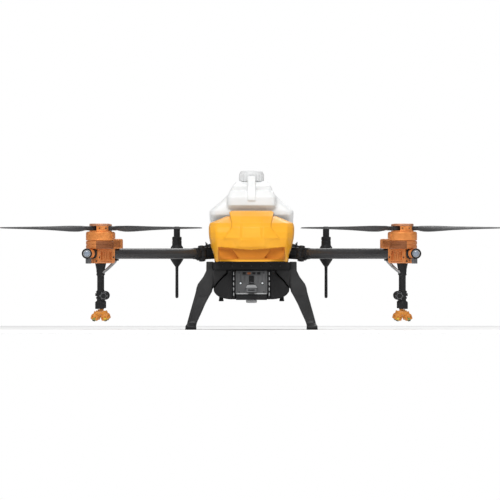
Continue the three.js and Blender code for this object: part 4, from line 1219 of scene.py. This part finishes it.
def battery():
    front = BATTERY_FACE
    shell = slab((-60, 60), (front, 6), (133, 223), 6, 5)
    cuts = [slab((-9.8, 9.8), (front - 1, -201.8), (170.8, 204), 0)]
    for side in (-1, 1):
        for x0, x1, deep, z0, z1 in ((39.2, 42.8, 3, 182, 217), (51, 53.4, 2, 140, 217),
                                     (25, 27.4, 2, 178, 204)):
            cuts.append(slab(pair(side, x0, x1), (front - 2, front + deep), (z0, z1), 0))
        foot = [(side * 10, 171), (side * 24, 141), (side * 33, 141), (side * 15, 171)]
        cuts.append(prism_y(foot, front - 2, front + 2))
    cuts.append(slab((-36, 36), (front - 2, front + 4), (206, 219), 0))
    cuts.append(slab((-9, 9), (front - 2, front + 6), (136.6, 141), 0))
    for k in range(9):
        cuts.append(slab((-61, 61), (-190 + 20 * k, -188 + 20 * k), (222, 224), 0))
    piece = Piece("battery_skin")
    piece.add(soften(carve(shell, cuts), 0.5, 2, 50), "battery")
    grip = carve(slab((-19, 19), (-226, front + 1), (142, 156), 3, 3),
                 [slab((-13, 13), (-231, -206), (146.6, 151.6), 0)])
    piece.add(grip, "grey")
    piece.add(prism_y([(-15, 168), (15, 168), (22, 158), (-22, 158)], front - 2.4, front + 1), "pale")
    for side in (-1, 1):
        spot = placed(disc(3.6, 0, 1.8, 0.5, 32), Matrix.Rotation(math.pi / 2, 4, "X"))
        piece.add(shift(spot, side * 41, front + 0.4, 175), "led")
        ring = revolve([(3.8, 0), (6.4, 0), (6.4, 1.2), (3.8, 1.2)], 36, 0.3, closed=True)
        piece.add(shift(placed(ring, Matrix.Rotation(math.pi / 2, 4, "X")), side * 41, front + 0.4, 175),
                  "frame")
        for z in (142, 214):
            screw = along_y(socket_screw(2.6, 1.4))
            piece.add(shift(screw, side * 46.5, front + 0.4, z), "oxide")
        for x in (15.5, 19.5, 31, 35):
            rib = slab(pair(side, x - 0.9, x + 0.9), (front - 1.4, front + 1),
                       (176, 203), 0.5)
            piece.add(rib, "grey")
        piece.add(slab(pair(side, 57, 59.2), (front + 3, front + 7), (140, 216), 0.6),
                  "pale")
        edge = slab(pair(side, 12, 57), (front - 1.4, front + 3), (133.6, 138), 0.8)
        piece.add(edge, "pale")
    for k, x in enumerate((-27, -9, 9, 27)):
        plug = slab((x - 6, x + 6), (front + 1, front + 6), (208.5, 216.5), 0.8)
        piece.add(plug, "copper" if k == 1 else "black")
    piece.build("battery_pack", ["battery"], "grey_plastic", 35)


def battery_latch():
    piece = Piece("latch_skin")
    plate = carve(slab((-8.5, 8.5), (-214.5, -209), (178, 203), 1.6, 3),
                  [slab((-5, 5), (-216, -213), (185 + 4 * k, 187 + 4 * k), 0) for k in range(4)])
    piece.add(plate, "black")
    piece.add(shift(along_x(disc(4, -8.5, 8.5, 0.6, 32)), 0, -208, 179.5), "steel")
    piece.build("latch", ["battery_latch"], "grey_plastic", 35)


def ground_radar():
    rings = []
    for z, half_x, half_y, radius in ((101, 17.5, 27, 5), (101.6, 18.6, 28.2, 5), (104, 20.3, 29.8, 5),
                                      (110.4, 20.5, 30, 5), (111.6, 19.6, 29, 5)):
        rings.append(at_height(rounded_rect(half_x, half_y, radius, 0, -150), z))
    piece = Piece("radar_skin").add(loft(rings), "pale")
    face = [at_height(rounded_rect(14 - i, 22 - i, 4, 0, -150), 101.2 - 0.5 * i) for i in (0, 1)]
    piece.add(loft(face), "grey")
    piece.build("airframe", ["ground_radar"], "grey_plastic", 35)


def spray_pump():
    floor = 232.3
    piece = Piece("pump_skin")
    motor = [(0, -58), (16, -58), (19.4, -55), (19.4, -50), (18.4, -49), (18.4, -12), (20, -11), (20, 6),
             (0, 6)]
    piece.add(shift(along_x(revolve(motor, 56, 0.8)), 0, 218, floor + 22), "steel")
    for k in range(10):
        fin = shift(along_x(disc(19.3, -46 + 3.4 * k, -44.6 + 3.4 * k, 0.2, 48)), 0, 218, floor + 22)
        piece.add(fin, "black")
    rings = []
    for z, inset in ((0, 1), (1, 0), (22, 0), (23, 0.8), (25, 0.8), (26, 0), (49, 0), (50, 1)):
        rings.append(at_height(rounded_rect(24 - inset, 20 - inset, 6, 26, 220), floor + z))
    piece.add(loft(rings), "black")
    piece.add(slab((-50, 44), (206, 238), (floor, floor + 6), 1), "frame")
    port = [(0, 46), (7, 46), (7, 52), (6, 53), (6, 57), (7, 59), (6, 61), (7, 63), (6, 65), (6.6, 67.6),
            (0, 67.6)]
    piece.add(shift(revolve(port, 32, 0.3), 26, 220, floor), "black")
    for x in (8, 44):
        for y in (206, 234):
            piece.add(shift(socket_screw(2.4, 2), x, y, floor + 49), "steel")
    piece.build("airframe", ["spray_pump"], "grey_plastic", 35)


def flight_controller():
    floor = 232.3
    piece = Piece("controller_skin")
    rings = [at_height(rounded_rect(36 - i, 35 - i, 6, 0, -165), floor + z)
             for z, i in ((0, 1), (1, 0), (23, 0), (25, 1), (26.6, 3))]
    piece.add(loft(rings), "grey")
    for k in range(7):
        piece.add(slab((-26, 26), (-190 + 8 * k, -187 + 8 * k), (floor + 25, floor + 26.9), 0.6), "black")
    for y in ((-205, -199), (-131, -125)):
        for k in range(4):
            piece.add(slab((-23 + 12 * k, -13 + 12 * k), y, (floor + 6, floor + 16), 0.8), "black")
    piece.build("airframe", ["flight_controller"], "grey_plastic", 35)


LEG_LEVELS = [[17, 208, 244, -198], [30, 204, 241, -196], [60, 190, 233, -192], [97, 174, 222.5, -188],
              [127, 158, 214, -184], [142, 149, 210, -182], [158, 146, 207, -180], [172, 143, 202, -178],
              [200, 143, 181, -174], [222, 143, 170.5, -172], [256, 143, 170, -172]]


def leg(tag):
    rings = []
    for z, inner, outer, y in dense_levels(LEG_LEVELS, 4):
        rings.append(at_height(rounded_rect((outer - inner) / 2, 15, 7, (inner + outer) / 2, y, 6), z))
    foot = [at_height(rounded_rect(hx, hy, r, 228.5, -198, 8), z)
            for z, hx, hy, r in ((7, 20.2, 39.6, 10), (14, 20.2, 39.6, 10), (18, 17, 30, 8),
                                 (24, 13, 22, 8))]
    panels = []
    for side in (-1, 1):
        panel = []
        for z, inner, outer, y in dense_levels([row for row in LEG_LEVELS if 30 <= row[0] <= 127], 6):
            mid, half = (inner + outer) / 2, (outer - inner) / 2 - 9
            face = y + side * 15
            panel.append([(mid - half, face - 1.8, z), (mid + half, face - 1.8, z),
                          (mid + half, face + 1.8, z), (mid - half, face + 1.8, z)])
        panels.append(loft(panel))
    top = [(160, 225.5), (93, 225.5), (93, 214.6), (123.6, 184), (146.6, 153), (160, 152)]
    shell = moulded(joined(carve(loft(rings), panels), prism_y(top, *BRACKET_Y), loft(foot)), 1.8, 9)
    piece = Piece("leg_skin_" + tag, mirror(tag)).add(shell, "leg")
    sole = [at_height(rounded_rect(20.5 - i, 40 - i, 9, 228.5, -198, 8), z)
            for z, i in ((0, 1.2), (1, 0.2), (3, 0), (7, 0), (8, 0.8))]
    tread = [slab((206, 251), (-234 + 9 * k, -231.5 + 9 * k), (-2, 1.2), 0) for k in range(9)]
    piece.add(carve(loft(sole), tread), "rubber")
    for z in (234, 248):
        screw = along_y(socket_screw(3.4, 2.2))
        piece.add(shift(screw, 156.5, -186.4, z), "oxide")
    piece.build("airframe", ["leg_" + tag], "leg_black", 60)


def chassis_details():
    """Screws and stiffening ribs on the frame, whose own mesh is shown with rounded edges."""
    piece = Piece("frame_fittings")
    for side in (-1, 1):
        for y in (-130, -72, -2, 68, 138, 186):
            screw = placed(socket_screw(3.4, 2.4), Matrix.Rotation(side * math.pi / 2, 4, "Y"))
            piece.add(shift(screw, side * 137.6, y, 311), "oxide")
        for y in range(-190, 240, 20):
            rib = slab(pair(side, 142.0, 144.2), (y - 2, y + 2), (230, 250), 0.8)
            piece.add(rib, "frame")
    for k in range(7):
        x = -108 + 36 * k
        screw = along_y(socket_screw(3.2, 2.0))
        piece.add(shift(screw, x, -214.8, 240), "oxide")
    piece.build("airframe", (), "black_frame", 35)


def show_cad(node, material, bevel):
    obj = frame["nodes"][node]
    obj.data.materials.clear()
    obj.data.materials.append(M[material])
    modifier = obj.modifiers.new("edges", "BEVEL")
    modifier.width = bevel
    modifier.segments = 2
    modifier.limit_method = "ANGLE"
    modifier.angle_limit = math.radians(40)
    modifier.harden_normals = False


front_hood()
rear_cover()
tank()
tank_cap()
belly_shell()
battery_tray()
battery()
battery_latch()
ground_radar()
spray_pump()
flight_controller()
for tag in CORNERS:
    leg(tag)
chassis_details()
show_cad("chassis_frame", "frame", 0.0012)
show_cad("tank_filter", "grey", 0.0008)


# ------------------------------------------------------------------ floor, light and camera
def floor_material():
    material, tree, shader = node_material("floor_pale")
    where = coordinate(tree)
    mottle = noise(tree, where, 6.0, 5.0, 0.6)
    tone = blend_colour(tree, remap(tree, mottle, 0, 1), (0.94, 0.94, 0.94), (0.97, 0.97, 0.97))
    link(tree, tone, shader.inputs["Base Color"])
    shader.inputs["Roughness"].default_value = 0.6
    bump(tree, shader, noise(tree, where, 300.0, 2.0), 0.0001)
    shader.inputs["Emission Color"].default_value = (1, 1, 1, 1)
    shader.inputs["Emission Strength"].default_value = 0.08
    return material


def studio_floor():
    mesh = bpy.data.meshes.new("studio_floor")
    half = 4.0
    mesh.from_pydata([(-half, -half, 0), (half, -half, 0), (half, half, 0), (-half, half, 0)], [],
                     [(0, 1, 2, 3)])
    mesh.materials.append(floor_material())
    floor = bpy.data.objects.new("studio_floor", mesh)
    bpy.context.scene.collection.objects.link(floor)


def studio_world():
    """White behind the object, and a softer grey light that falls off below it."""
    world = bpy.data.worlds.new("studio")
    world.use_nodes = True
    tree = world.node_tree
    for node in list(tree.nodes):
        tree.nodes.remove(node)
    texture = tree.nodes.new("ShaderNodeTexCoord")
    split = tree.nodes.new("ShaderNodeSeparateXYZ")
    link(tree, texture.outputs["Generated"], split.inputs["Vector"])
    ramp = tree.nodes.new("ShaderNodeMapRange")
    ramp.inputs["From Min"].default_value = -0.4
    ramp.inputs["From Max"].default_value = 0.9
    ramp.inputs["To Min"].default_value = AMBIENT[0]
    ramp.inputs["To Max"].default_value = AMBIENT[1]
    link(tree, split.outputs["Z"], ramp.inputs["Value"])
    ambient = tree.nodes.new("ShaderNodeBackground")
    ambient.inputs["Color"].default_value = (1, 1, 1, 1)
    link(tree, ramp.outputs["Result"], ambient.inputs["Strength"])
    seen = tree.nodes.new("ShaderNodeBackground")
    seen.inputs["Color"].default_value = (1, 1, 1, 1)
    path = tree.nodes.new("ShaderNodeLightPath")
    mix = tree.nodes.new("ShaderNodeMixShader")
    link(tree, path.outputs["Is Camera Ray"], mix.inputs["Fac"])
    link(tree, ambient.outputs["Background"], mix.inputs[1])
    link(tree, seen.outputs["Background"], mix.inputs[2])
    output = tree.nodes.new("ShaderNodeOutputWorld")
    link(tree, mix.outputs["Shader"], output.inputs["Surface"])
    bpy.context.scene.world = world


def soft_box(name, place, target, size, power):
    light = bpy.data.lights.new(name, "AREA")
    light.shape = "RECTANGLE"
    light.size, light.size_y = size
    light.energy = power
    obj = bpy.data.objects.new(name, light)
    obj.location = place
    obj.rotation_euler = (Vector(target) - Vector(place)).to_track_quat("-Z", "Y").to_euler()
    bpy.context.scene.collection.objects.link(obj)


AMBIENT = (0.20, 0.52)
studio_floor()
studio_world()
LIGHT_TARGET = (0, 0, 0.35)
for name, place, size, watts in (("key", (-0.6, -3.0, 3.4), (2.8, 1.8), 112),
                                 ("fill", (3.2, -2.4, 1.4), (2.0, 2.0), 10),
                                 ("back", (0.6, 3.2, 3.0), (2.6, 1.6), 45)):
    soft_box(name, place, LIGHT_TARGET, size, watts)

# A very long lens, near a flat projection: FIELD metres fill the width at the picture plane.
LENS = 1600.0
SENSOR = 36.0
FIELD = 1.875
PICTURE_PLANE = -0.45
EYE_HEIGHT = 0.3
camera = bpy.data.objects.new("camera", bpy.data.cameras.new("camera"))
camera.data.lens = LENS
camera.data.sensor_width = SENSOR
camera.data.clip_end = 1000.0
camera.location = (-0.0056, PICTURE_PLANE - FIELD * LENS / SENSOR, EYE_HEIGHT)
camera.rotation_euler = (math.pi / 2, 0, 0)
bpy.context.scene.collection.objects.link(camera)
bpy.context.scene.camera = camera
bpy.context.scene.view_settings.view_transform = "Standard"
